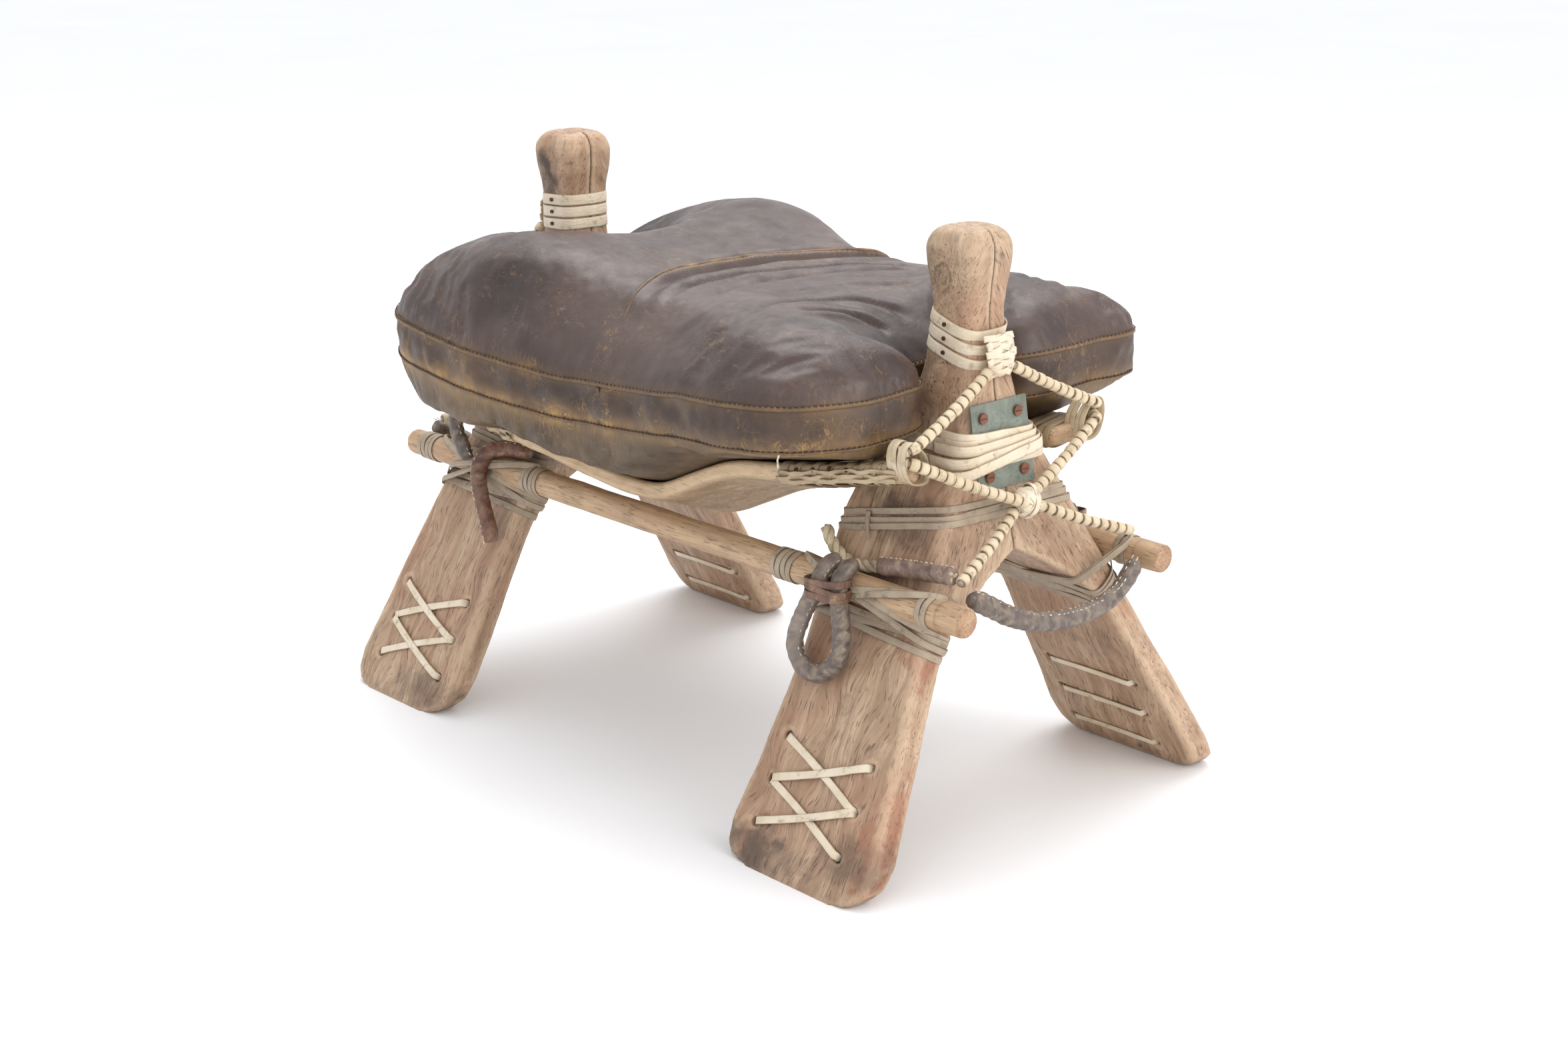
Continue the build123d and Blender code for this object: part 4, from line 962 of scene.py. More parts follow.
def board_z(x, y):
    """Top of a side board."""
    share = np.abs(x) / (300 * MM)
    edge = 256.5 * MM + np.where(x > 0, 70 * MM * smooth(share, front_rise),
                                 17 * MM * smooth(share, rear_rise))
    drop = smooth(np.abs(x), [(100 * MM, 31 * MM), (300 * MM, 12 * MM)])
    return edge - drop * (BOARD_Y - np.abs(y)) / (90 * MM)


def cushion_outline():
    """Closed plan outline of the cushion: two long sides and a soft notch at each end."""
    xs = np.linspace(-291, 269, 120) * MM
    near = np.column_stack([xs, -smooth(xs, in_mm(near_side))])
    far = np.column_stack([xs, smooth(xs, in_mm(far_side))])[::-1]

    def notch(end):
        reach, sign = CUSHION[end], ENDS[end]
        rows = [(reach - 3 * MM, -92 * MM), (reach - 5 * MM, -70 * MM), (reach - 12 * MM, -54 * MM),
                (reach - 28 * MM, -46 * MM), (NOTCH_X + 14 * MM, -43 * MM), (NOTCH_X + 3 * MM, -30 * MM),
                (NOTCH_X, 0)]
        rows += [(x, -y) for x, y in rows[-2::-1]]
        rows = np.array([(sign * x, y) for x, y in rows])
        return rows if end == FRONT else rows[::-1]

    loop = np.vstack([near, notch(FRONT), far, notch(REAR)])
    loop = np.column_stack([loop, np.zeros(len(loop))])
    loop = softened(resampled(loop, 4.6 * MM, True), 5, True)
    return resampled(loop, 4.6 * MM, True)[:, :2]


def reach_to(points, loop):
    """Distance of each plan point to the outline."""
    best = np.full(len(points), 1e9)
    for a, b in zip(loop, np.roll(loop, -1, 0)):
        ab = b - a
        share = np.clip(((points - a) @ ab) / (ab @ ab), 0, 1)[:, None]
        best = np.minimum(best, np.linalg.norm(points - (a + share * ab), axis=1))
    return best


def crown_rise(x, y):
    """Rise of the stuffed top, blended from the rows."""
    total, weight = np.zeros(len(x)), np.zeros(len(x))
    for row_x, row_y, rise in crown_rows:
        w = np.exp(-((x - row_x * MM) ** 2 + (y - row_y * MM) ** 2) / (2 * (42 * MM) ** 2)) + 1e-6
        total += w * rise * MM
        weight += w
    return total / weight


def fork_floor(x, y):
    """Lowest place for the cushion over a fork and its lashings."""
    clear = 9.4 * MM
    half = np.abs(y) - clear
    levels = np.linspace(234, 345, 38) * MM
    post = [(FORK_Z, FOOT_Y - FORK_Z * SLOPE), (345 * MM, 32 * MM), (376 * MM, 27 * MM)]
    widths = np.where(levels <= FORK_Z, FOOT_Y - levels * SLOPE, smooth(levels, post))
    top = np.interp(-half, -widths, levels)
    inner = smooth(top, in_mm([(150, 201), (262, 189), (345, 219), (450, 231)]))
    over = soft_step(np.abs(x), inner - clear - 10 * MM, inner - clear)
    return np.where(half < widths[0], top * over, 0)


def underside(x, y, reach):
    """Height of the cushion's underside: it hangs from the band, and rests on the boards."""
    share = along_share(x)
    band = seam_z(x, y) - BAND
    flank = soft_step(np.abs(y), 60 * MM, 110 * MM)
    depth = BELLY * (smooth(share, belly_shares) * (1 - flank) + smooth(share, flank_shares) * flank)
    fall = (1 - (1 - np.clip(reach / (50 * MM), 0, 1)) ** 2) ** 0.62
    low = band - 1.5 * MM - depth * fall
    beyond = np.maximum(0, np.abs(y) - 140 * MM)
    rest = board_z(x, np.minimum(np.abs(y), BOARD_Y)) + 1 * MM
    rest += 2.4 * MM * soft_step(np.abs(x), 150 * MM, 185 * MM)
    rest += (0.42 - 0.16 * soft_step(np.abs(x), 90 * MM, 170 * MM)) * beyond
    on_board = soft_step(np.abs(y), 34 * MM, 46 * MM)
    low = np.maximum(low, rest * on_board + low * (1 - on_board))
    return np.maximum(low, fork_floor(x, y))


def band_foot(loop):
    """Height of the band's lower edge, which lifts over the forks."""
    x, y = loop[:, 0], loop[:, 1]
    return np.minimum(underside(x, y, np.zeros(len(loop))), seam_z(x, y) - 12 * MM)


def cushion_mesh():
    """Closed stuffed form: top, upright band and underside over the same plan."""
    loop = cushion_outline()
    xs, ys = np.meshgrid(np.arange(-300, 280, 5.0) * MM, np.arange(-220, 221, 4.4) * MM)
    xs = xs + np.where((np.arange(xs.shape[0]) % 2)[:, None], 2.5 * MM, 0)
    grid = np.column_stack([xs.ravel(), ys.ravel()])
    inside = np.zeros(len(grid), bool)
    for (ax, ay), (bx, by) in zip(loop, np.roll(loop, -1, 0)):
        cross = (ay > grid[:, 1]) != (by > grid[:, 1])
        with np.errstate(divide="ignore", invalid="ignore"):
            at = (bx - ax) * (grid[:, 1] - ay) / (by - ay) + ax
        inside ^= cross & (grid[:, 0] < at)
    grid = grid[inside]
    grid = grid[reach_to(grid, loop) > 3.2 * MM]
    count = len(loop)
    plan = [Vector(p) for p in np.vstack([loop, grid])]
    rim = [(i, (i + 1) % count) for i in range(count)]
    made, _, triangles, *_ = delaunay_2d_cdt(plan, rim, [], 1, 1e-7)
    plan = np.array([tuple(p) for p in made])
    reach = reach_to(plan, loop)
    reach[:count] = 0
    x, y = plan[:, 0], plan[:, 1]
    t = np.clip(reach / (100 * MM), 0, 1)
    dome = (1 - (1 - t) ** 2.1) ** 0.58
    top = np.column_stack([x, y, seam_z(x, y) + crown_rise(x, y) * dome])
    low = np.column_stack([x, y, underside(x, y, reach)])
    rows = 5
    seam = seam_z(x[:count], y[:count])
    band_low = band_foot(loop)
    low[:count, 2] = band_low
    points, faces, parts = [top], [], []
    total = len(plan)
    for a, b, c in triangles:
        faces.append((a, b, c) if cross_2d(plan, a, b, c) > 0 else (a, c, b))
        parts.append(0)
    band_start = total
    for row in range(1, rows):
        share = row / rows
        ring = np.column_stack([x[:count], y[:count], seam * (1 - share) + band_low * share])
        points.append(ring)
    low_start = total + (rows - 1) * count
    points.append(low)
    rings = [list(range(count))]
    rings += [[band_start + r * count + i for i in range(count)] for r in range(rows - 1)]
    rings.append([low_start + i for i in range(count)])
    for upper, lower in zip(rings, rings[1:]):
        for i in range(count):
            k = (i + 1) % count
            faces.append((upper[i], lower[i], lower[k], upper[k]))
            parts.append(1)
    for a, b, c in triangles:
        face = (a, c, b) if cross_2d(plan, a, b, c) > 0 else (a, b, c)
        faces.append(tuple(low_start + i for i in face))
        parts.append(2)
    return np.vstack(points), faces, parts, loop, total


def cross_2d(plan, a, b, c):
    (ax, ay), (bx, by), (cx, cy) = plan[a], plan[b], plan[c]
    return (bx - ax) * (cy - ay) - (by - ay) * (cx - ax)


def stuff(piece, held, most):
    """Blows the cover up with cloth simulation; each point moves by no more than most."""
    before = points_of(piece)
    group = piece.vertex_groups.new(name="seams")
    group.add([int(i) for i in held], 1.0, "REPLACE")
    cloth = piece.modifiers.new("stuffing", "CLOTH")
    settings = cloth.settings
    settings.quality, settings.mass = 5, 0.3
    settings.use_pressure, settings.uniform_pressure_force = True, 4.0
    settings.vertex_group_mass = "seams"
    settings.pin_stiffness = 1.0
    settings.shrink_min = -0.025
    settings.effector_weights.gravity = 0
    scene = bpy.context.scene
    scene.frame_start, scene.frame_end = 1, 20
    cloth.point_cache.frame_start, cloth.point_cache.frame_end = 1, 20
    for step in range(1, 21):
        scene.frame_set(step)
    evaluated = piece.evaluated_get(bpy.context.evaluated_depsgraph_get())
    after = np.empty(len(before) * 3)
    evaluated.data.vertices.foreach_get("co", after)
    moved = after.reshape(-1, 3) - before
    size = np.linalg.norm(moved, axis=1)
    cap = most / np.maximum(size, most)
    piece.modifiers.clear()
    piece.vertex_groups.clear()
    set_points(piece, before + moved * cap[:, None])
    scene.frame_set(1)


# Folds of the top, in plan: points in millimetres, width, and depth (a ridge has a negative depth)
folds = [
    ([(32, 141), (27, 108), (0, 60), (-15, 21), (-20, -30), (-21, -70), (-8, -110), (11, -156)], 4.0, -1.0),
    ([(42, 150), (38, 108), (12, 60), (-3, 21), (-8, -30), (-8, -70), (6, -112), (24, -150)], 5.0, 3.4),
    ([(24, 141), (16, 100), (-10, 50), (-26, 10), (-32, -40), (-30, -80)], 5.5, 2.0),
    ([(101, 101), (70, 84), (46, 62), (30, 25), (19, -4), (14, -50), (22, -100), (40, -140)], 4.0, 2.6),
    ([(120, 100), (92, 78), (66, 48), (52, 10), (46, -30), (50, -80), (62, -130)], 5.0, 2.2),
    ([(180, 13), (158, 2), (135, -22), (126, -60), (132, -104), (140, -140)], 4.5, 2.6),
    ([(188, -20), (168, -30), (156, -60), (158, -100)], 4.0, 2.4),
    ([(150, 60), (122, 40), (100, 8), (90, -30), (92, -80)], 5.0, 1.8),
    ([(192, 34), (170, 48), (150, 80), (140, 120)], 5.0, 2.4),
    ([(-196, -20), (-176, -40), (-168, -80)], 6.0, 2.2),
    ([(-196, 20), (-176, 40), (-168, 80)], 6.0, 2.2),
]


def fold_depth(points):
    """Depth of the folds at each point, and how far along a scuffed ridge it lies."""
    depth, ridge = np.zeros(len(points)), np.zeros(len(points))
    plan = points[:, :2]
    for k, (rows, width, deep) in enumerate(folds):
        line = np.array([(x * MM, y * MM, 0) for x, y in rows])
        line = softened(resampled(line, 8 * MM, False), 4, False)[:, :2]
        best, at = np.full(len(plan), 1e9), np.zeros(len(plan))
        for i, (a, b) in enumerate(zip(line, line[1:])):
            ab = b - a
            share = np.clip(((plan - a) @ ab) / (ab @ ab), 0, 1)
            far = np.linalg.norm(plan - (a + share[:, None] * ab), axis=1)
            closer = far < best
            best[closer] = far[closer]
            at[closer] = (i + share[closer]) / (len(line) - 1)
        fade = soft_step(at, 0, 0.12) * (1 - soft_step(at, 0.75, 1))
        shape = np.exp(-(best / (width * MM)) ** 2)
        shape = shape - 0.35 * np.exp(-((best - 2 * width * MM) / (width * MM)) ** 2)
        depth += 1.5 * deep * MM * fade * shape
        if k == 0:
            ridge = fade * np.exp(-(best / (2.2 * MM)) ** 2)
    return depth, ridge


def make_cushion():
    """The stuffed seat: three panels of leather with welted seams, stitches, folds and scuffs."""
    points, faces, parts, loop, total = cushion_mesh()
    piece = new_piece("cushion_cover", points, faces, seat_top, seat_side, seat_under)
    piece.data.polygons.foreach_set("material_index", parts)
    count = len(loop)
    low_start = total + 4 * count
    held = list(range(count)) + list(range(low_start, low_start + count))
    held += [low_start + i for i in range(count, total) if abs(points[low_start + i][1]) < 150 * MM]
    stuff(piece, held, 5 * MM)
    smoother = piece.modifiers.new("finer", "SUBSURF")
    smoother.levels = smoother.render_levels = 1
    baked(piece)
    points, out = points_of(piece), normals_of(piece)
    x, y, z = points.T
    reach = reach_to(points[:, :2], loop)
    above = z - seam_z(x, y)
    on_top = soft_step(above, 2 * MM, 14 * MM) * (out[:, 2] > 0)
    on_band = (np.abs(out[:, 2]) < 0.5) & (reach < 3 * MM)
    depth, ridge = fold_depth(points)
    lumps = ripple(points, 16, 61, 2)
    creases = ripple(points * np.array([1, 2, 1]), 26, 67, 2)
    move = -depth * on_top + (1.5 * lumps + 0.4 * creases) * MM * on_top
    puckers = np.sin(ripple(points, 12, 71, 1) * 5 + np.arctan2(y, x) * 70)
    move += 0.35 * MM * puckers * on_top * (1 - soft_step(reach, 6 * MM, 26 * MM))
    move += 0.8 * MM * ripple(points, 30, 73, 3) * on_band
    points = points + out * move[:, None]
    set_points(piece, points)
    by_seam = np.exp(-(np.abs(above) / (5 * MM)) ** 2) * (reach < 12 * MM)
    low_edge = np.exp(-(np.abs(above + BAND) / (8 * MM)) ** 2) * (reach < 16 * MM)
    rub = np.clip(0.9 * ridge * on_top + 0.35 * by_seam + 0.75 * low_edge
                  + 0.3 * on_band * soft_step(ripple(points, 22, 79, 3), 0.05, 0.6), 0, 1)
    # Painted sheen: patches on the top only are lightened, where light from above would shine.
    painted_sheen = on_top * soft_step(ripple(points, 9, 83, 3) + 0.3, 0.1, 0.8)
    # Painted shade: the top is darkened where it sinks into the notches by the posts.
    deep = 0.5 * on_top * (1 - soft_step(reach, 0, 60 * MM)) * (np.abs(y) < 60 * MM)
    # The band is painted darker and less rubbed towards the front
    front_band_share = on_band * soft_step(x, 40 * MM, 140 * MM)
    rub = rub * (1 - 0.5 * front_band_share)
    deep = deep + 0.3 * front_band_share
    paint(piece, "marks", np.column_stack([rub, painted_sheen, deep]))
    place_piece(piece, "cushion", "cushion_leather", "cushion_top", "cushion_band", "cushion_bottom")
    add_cushion_seams(loop, piece)
    add_cross_seam(piece)
    return piece


def add_cross_seam(cover):
    """The rubbed cord under the seam across the top, the join in the band and a loose thread below it."""
    skin = BVHTree.FromObject(cover, bpy.context.evaluated_depsgraph_get())
    plan = softened(resampled([(x * MM, y * MM, 0) for x, y in folds[0][0]], 3 * MM, False), 4, False)
    line = np.array([skin.ray_cast(Vector((x, y, 0.6)), Vector((0, 0, -1)))[0] for x, y, _ in plan])
    line = softened(line, 2, False)
    sizes = np.interp(np.arange(len(line)), [0, 4, len(line) - 16, len(line) - 1], [0.4, 1, 1, 0.2])
    cord = joined("cross_seam_cord",
                  [drawn(line + np.array([0, 0, -0.1]) * MM, np.tile([0, 0, 1], (len(line), 1)),
                                            round_profile(1.7 * MM, 8), False, sizes)], seat_side)
    rub = 0.55 + 0.6 * ripple(line, 90, 7, 2)
    paint(cord, "marks", np.column_stack([np.repeat(np.clip(rub, 0, 1), 8), np.zeros((len(line) * 8, 2))]))
    place_piece(cord, "cushion", "worn_leather")
    x = 24 * MM
    y = -smooth(np.array([x]), in_mm(near_side))[0]
    foot = seam_z(np.array([x]), np.array([y]))[0] - BAND + 1 * MM
    head = foot + BAND - 3 * MM
    join = np.column_stack([np.full(12, x), np.full(12, y - 0.6 * MM), np.linspace(head, foot, 12)])
    out = np.tile([0, -1.0, 0], (12, 1))
    edge = joined("band_join", [strip(join + np.array([1.6, 0.4, 0]) * MM, out, 3.4 * MM, 1.1 * MM,
                                      seed=4)], seat_side)
    paint(edge, "marks", np.tile([0.25, 0.0, 0.3], (len(edge.data.vertices), 1)))
    place_piece(edge, "cushion", "worn_leather")
    stitch = stitch_shape(3.0 * MM, 0.8 * MM)
    place_piece(copies("band_join_stitches", [(join, out, False)], stitch, 4.4 * MM, dark_thread, 0.2, 0.15,
                       9),
                "cushion", "worn_leather")
    tuft = np.array([(0.2397, -0.1895, 0.3335), (0.2397, -0.1910, 0.3300), (0.2396, -0.1908, 0.3262),
                     (0.2393, -0.1900, 0.3225)])
    place_piece(joined("loose_thread",
                       [drawn(tuft, np.tile([1.0, 0, 0], (4, 1)), round_profile(0.7 * MM, 6))],
                       pale_thread), "cushion", "worn_leather")


def laid_on(cover, line, closed):
    """The nearest line on the finished cover."""
    skin = BVHTree.FromObject(cover, bpy.context.evaluated_depsgraph_get())
    return softened(np.array([skin.find_nearest(Vector(p))[0] for p in line]), 2, closed)


def add_cushion_seams(loop, cover):
    """A leather welt with small stitches along the top seam, a flat stitched edge along the lower one."""
    seam = seam_z(loop[:, 0], loop[:, 1])
    flat = np.column_stack([loop, np.zeros(len(loop))])
    ahead = directions(flat, True)
    out = np.column_stack([ahead[:, 1], -ahead[:, 0], np.zeros(len(loop))])
    wave = ripple(flat, 22, 91, 2) * 0.8 * MM
    top = laid_on(cover, np.column_stack([loop, seam + wave]), True) + out * 0.7 * MM
    up = out + np.array([0, 0, 0.8])
    welt = [drawn(top, up, [(px * 1.25, py) for px, py in round_profile(1.7 * MM, 8)], True)]
    low = laid_on(cover, np.column_stack([loop, band_foot(loop) + wave]), True) + out * 0.4 * MM
    welt.append(drawn(low, out, round_profile(1.2 * MM, 8), True))
    welts = joined("cushion_welts", welt, seat_side)
    paint(welts, "marks", np.tile([0.35, 0.1, 0.2], (len(welts.data.vertices), 1)))
    place_piece(welts, "cushion", "worn_leather")
    stitch = stitch_shape(3.4 * MM, 0.9 * MM)
    upper = (top + out * 1.0 * MM + np.array([0, 0, 1.9 * MM]), up, True)
    lower = (low + out * 0.7 * MM + np.array([0, 0, 1.6 * MM]), out, True)
    place_piece(copies("cushion_seam_stitches", [upper, lower], stitch, 4.8 * MM, dark_thread, 0.15, 0.12, 5),
                "cushion", "worn_leather")


# Lashings of flat hide

def level_plane(end, centre_z, rise_y, rise_x):
    """Centre and normal of a plane through a fork, which rises to the left and to the outside."""
    sign = ENDS[end]
    return (sign * POST_X, 0, centre_z), (-rise_x * sign, -rise_y, 1)


woods = {}


def fork_woods(end):
    return [woods[end, RIGHT], woods[end, LEFT]]


def shoulder_lashing(end):
    """Cream strips that fan from the near board tip and cross on the plate, and turns round the fork."""
    parts = []
    around = [(303.5, -0.02, 0.02), (309, 0.015, -0.03), (316, -0.03, 0.02), (322, 0.02, 0.03)]
    for i, (z, rise_y, rise_x) in enumerate(around):
        line, outs = taut(fork_woods(end), *level_plane(end, z * MM, rise_y, rise_x), (0.7 + 0.3 * i) * MM,
                          seed=i)
        parts.append(strip(line, outs, 7.6 * MM, 1.1 * MM, True, seed=i))
    fan = [(325, -0.05, 0.0), (318.5, 0.02, 0.0), (312, 0.07, 0.0), (307, 0.13, 0.0)]
    for i, (z, rise_y, rise_x) in enumerate(fan):
        line, outs = taut(fork_woods(end), *level_plane(end, z * MM, rise_y, rise_x), (2.9 + 0.8 * i) * MM,
                          seed=10 + i)
        line, outs = part_of(line, outs, lambda p: abs(p[0]) > 262 * MM)
        parts.append(strip(line, outs, 9.4 * MM, 1.0 * MM, False, seed=10 + i))
    piece = joined(f"{end}_shoulder_strips", parts, new_hide)
    return place_piece(piece, "frame", "rawhide", f"{end}_shoulder_lashing")


def lower_lashing(end):
    """Older grey-brown strips round the fork under the shoulder lashing, with one end left hanging."""
    base, rise = (260, 0.2) if end == FRONT else (222, 0.06)
    parts = []
    for i, (dz, rise_y) in enumerate([(-5.6, -0.03), (0, -0.02), (5.6, -0.036)]):
        line, outs = taut(fork_woods(end),
                          *level_plane(end, (base + 6 * (end == REAR) + dz) * MM, rise_y, rise), 0.4 * MM,
                          seed=20 + i)
        parts.append(strip(line, outs, 5.7 * MM, 1.1 * MM, True, seed=20 + i, uneven=0.05))
    if end == FRONT:
        hang = np.linspace(0, 1, 14)
        z = (262 - 20 * hang) * MM
        tail = np.column_stack([(221 + 11 * hang ** 1.5) * MM, -(FOOT_Y - z * SLOPE + 2.2 * MM), z])
        face = np.tile([0, -math.cos(SPLAY), math.sin(SPLAY)], (14, 1))
        parts.append(drawn(tail, face, strip_profile(5.2 * MM, 1.1 * MM), False, 1.0 - 0.8 * hang ** 2))
    piece = joined(f"{end}_lower_strips", parts, old_hide)
    return place_piece(piece, "frame", "old_rawhide", f"{end}_lower_lashing")


def collar(end):
    """Three flat straps nailed round the post."""
    low, tilt = (385, 17) if end == FRONT else (424, 2)
    parts = []
    for row in range(3):
        z = low + row * 11.2 + 4.7
        centre, normal = level_plane(end, z * MM, 0.0, -math.tan(math.radians(tilt)))
        line, outs = taut(fork_woods(end), centre, normal, 0.25 * MM, sway=0.4 * MM, seed=30 + row)
        parts.append(strip(line, outs, 10.2 * MM, 1.4 * MM, True, seed=30 + row, uneven=0.05))
    piece = joined(f"{end}_collar_bands", parts, new_hide)
    return place_piece(piece, "frame", "rawhide", f"{end}_collar_straps")


def board_binding(end, side):
    """Flat straps over a board's tongue, nailed at the top, with strips plaited through them below."""
    board = woods[side]
    sign_x, sign_y = ENDS[end], SIDES[side]
    parts, tacks = [], []
    straps = [183, 198, 213, 228, 243, 256, 267, 277]
    for i, x in enumerate(straps):
        centre = (sign_x * x * MM, sign_y * 105 * MM, 300 * MM if end == FRONT else 262 * MM)
        line, outs = taut([board], centre, (1, 0.04 * (-1) ** i, 0.05), 0.5 * MM, seed=40 + i)
        parts.append(strip(line, outs, (9.5 if i == 0 else 6.8) * MM, 1.1 * MM, True, seed=40 + i))
        if 0 < i < 5:
            tacks.append(line[np.argmax(outs[:, 1] * sign_y * 2 + outs[:, 2])]
                         + np.array([0, sign_y * 1.2 * MM, 0]))
    for row, (drop, weave) in enumerate([(-9.5, 1), (-13.5, -1), (-17, 1)]):
        line = []
        for x in np.linspace(180, 288, 46):
            found = cut_line([board], np.array([sign_x * x * MM, 0, 0]), np.array([1.0, 0, 0]))
            found = found[np.argsort(-np.abs(found[:, 1]))][:60]
            edge = board_z(np.array([sign_x * x * MM]), np.array([BOARD_Y]))[0]
            off_row = np.abs(found[:, 2] - edge - drop * MM)
            pick = found[np.argmin(off_row + 0.4 * (abs(found[0, 1]) - np.abs(found[:, 1])))]
            over = 1.7 + 1.4 * weave * math.cos(math.pi * (x - 198) / 15)
            line.append(pick + np.array([0, sign_y * over * MM, -0.3 * over * MM]))
        line = softened(np.array(line), 2, False)
        parts.append(strip(line, np.tile([0, sign_y, -0.35], (len(line), 1)), 4.4 * MM, 1.0 * MM,
                           seed=50 + row,
                           uneven=0.2))
    piece = joined(f"{end}_{side}_basket_binding", parts, shaded_plaited_hide)
    place_piece(piece, "frame", "rawhide", f"{end}_{side}_board_binding")
    studs = copies(f"{end}_{side}_binding_tacks",
                   [(tacks, np.tile([0, sign_y, 0.3], (len(tacks), 1)), False)],
                   TACK, 15 * MM, iron, 0.15, 0.1, 12)
    place_piece(studs, "frame", "iron_tacks")


def rod_lashing(end, side):
    """Turns round the rod on both sides of the leg, strips across the crossing, and turns under the rod."""
    rod, leg = woods["rod", side], woods[end, side]
    sign_x, sign_y = ENDS[end], SIDES[side]
    up = np.array([0, -sign_y * math.sin(SPLAY), math.cos(SPLAY)])
    axis = np.array([1.0, 0, 0])
    parts = []
    bands = [162, 168.2, 174.6, 181] + ([327, 333] if end == FRONT else [327, 333.2, 339.4, 345.6])
    for i, x in enumerate(bands):
        line, outs = taut([rod], (sign_x * x * MM, sign_y * ROD_Y, ROD_Z), (1, 0, 0.05 * (-1) ** i), 0.2 * MM,
                          step=2 * MM, seed=60 + i)
        parts.append(strip(line, outs, 5.6 * MM, 1.3 * MM, True, seed=60 + i))
    crossing = np.array([sign_x * POST_X, sign_y * ROD_Y, ROD_Z])
    here = lambda rows: np.abs(np.abs(rows[:, 0]) - POST_X) < 95 * MM
    for i, (down, lean) in enumerate([(2, 0.2), (6, 0.27), (4, -0.2), (9, -0.26)]):
        line, outs = taut([rod, leg], crossing - up * down * MM, up + axis * lean, (0.5 + 0.9 * i) * MM,
                          near=here,
                          seed=70 + i)
        parts.append(strip(line, outs, 5.8 * MM, 1.2 * MM, True, seed=70 + i))
    for i, (down, lean) in enumerate([(17, 0.03), (22, -0.04), (27.5, 0.06)]):
        line, outs = taut([leg], crossing - up * down * MM, up + axis * lean, 0.5 * MM, seed=80 + i)
        parts.append(strip(line, outs, 6.0 * MM, 1.2 * MM, True, seed=80 + i))
    piece = joined(f"{end}_{side}_rod_strips", parts, old_hide)
    return place_piece(piece, "frame", "old_rawhide", f"{end}_{side}_rod_lashing")


def on_leg(u, v, n):
    """Place in a leg's own plane at the front right: along X, up the slope, out of the face. Millimetres."""
    out = n * math.cos(SPLAY) - v * math.sin(SPLAY)
    rise = n * math.sin(SPLAY) + v * math.cos(SPLAY)
    return (u * MM, -FOOT_Y - out * MM, rise * MM)


def lacing(end, side):
    """Flat thong laced through the six holes: crossed outside, straight runs inside."""
    rows = [(31 + 32 * row) / math.cos(SPLAY) for row in (2, 1, 0)]
    inner, outer = 222, 317
    runs = [((inner, rows[0]), (outer, rows[1])), ((inner, rows[1]), (outer, rows[0])),
            ((inner, rows[1]), (outer, rows[2])), ((inner, rows[2]), (outer, rows[1]))]
    parts = []
    for i, ((u0, v0), (u1, v1)) in enumerate(runs):
        line, outs = [], []
        for share in np.linspace(0, 1, 28):
            reach = min(share, 1 - share)
            n = 0.9 + (1.1 if i % 2 else 0.2) * min(1, reach * 8) - 6 * max(0, 0.035 - reach) / 0.035
            sag = 1.6 * math.sin(math.pi * share) * (-1) ** i
            line.append(on_leg(u0 + (u1 - u0) * share, v0 + (v1 - v0) * share + sag, n))
            outs.append(on_leg(0, 0, 1000))
        outs = np.array(outs) - np.array(on_leg(0, 0, 0))
        parts.append(strip(mirrored(line, end, side), mirrored(outs, end, side), 6.8 * MM, 1.1 * MM,
                           seed=90 + i,
                           uneven=0.12))
    for i, v in enumerate(rows):
        line = [on_leg(inner + (outer - inner) * s, v + 1.2 * math.sin(3 * s),
                       -26 - 0.3 + 5 * max(0, 0.035 - min(s, 1 - s)) / 0.035)
                for s in np.linspace(0, 1, 24)]
        outs = np.tile(np.array(on_leg(0, 0, 0)) - np.array(on_leg(0, 0, 1000)), (24, 1))
        parts.append(strip(mirrored(line, end, side), mirrored(outs, end, side), 6.4 * MM, 1.1 * MM,
                           seed=95 + i))
    piece = joined(f"{end}_{side}_thong", parts, new_hide)
    return place_piece(piece, "frame", "rawhide", f"{end}_{side}_lacing")


# Lattice of wrapped cords

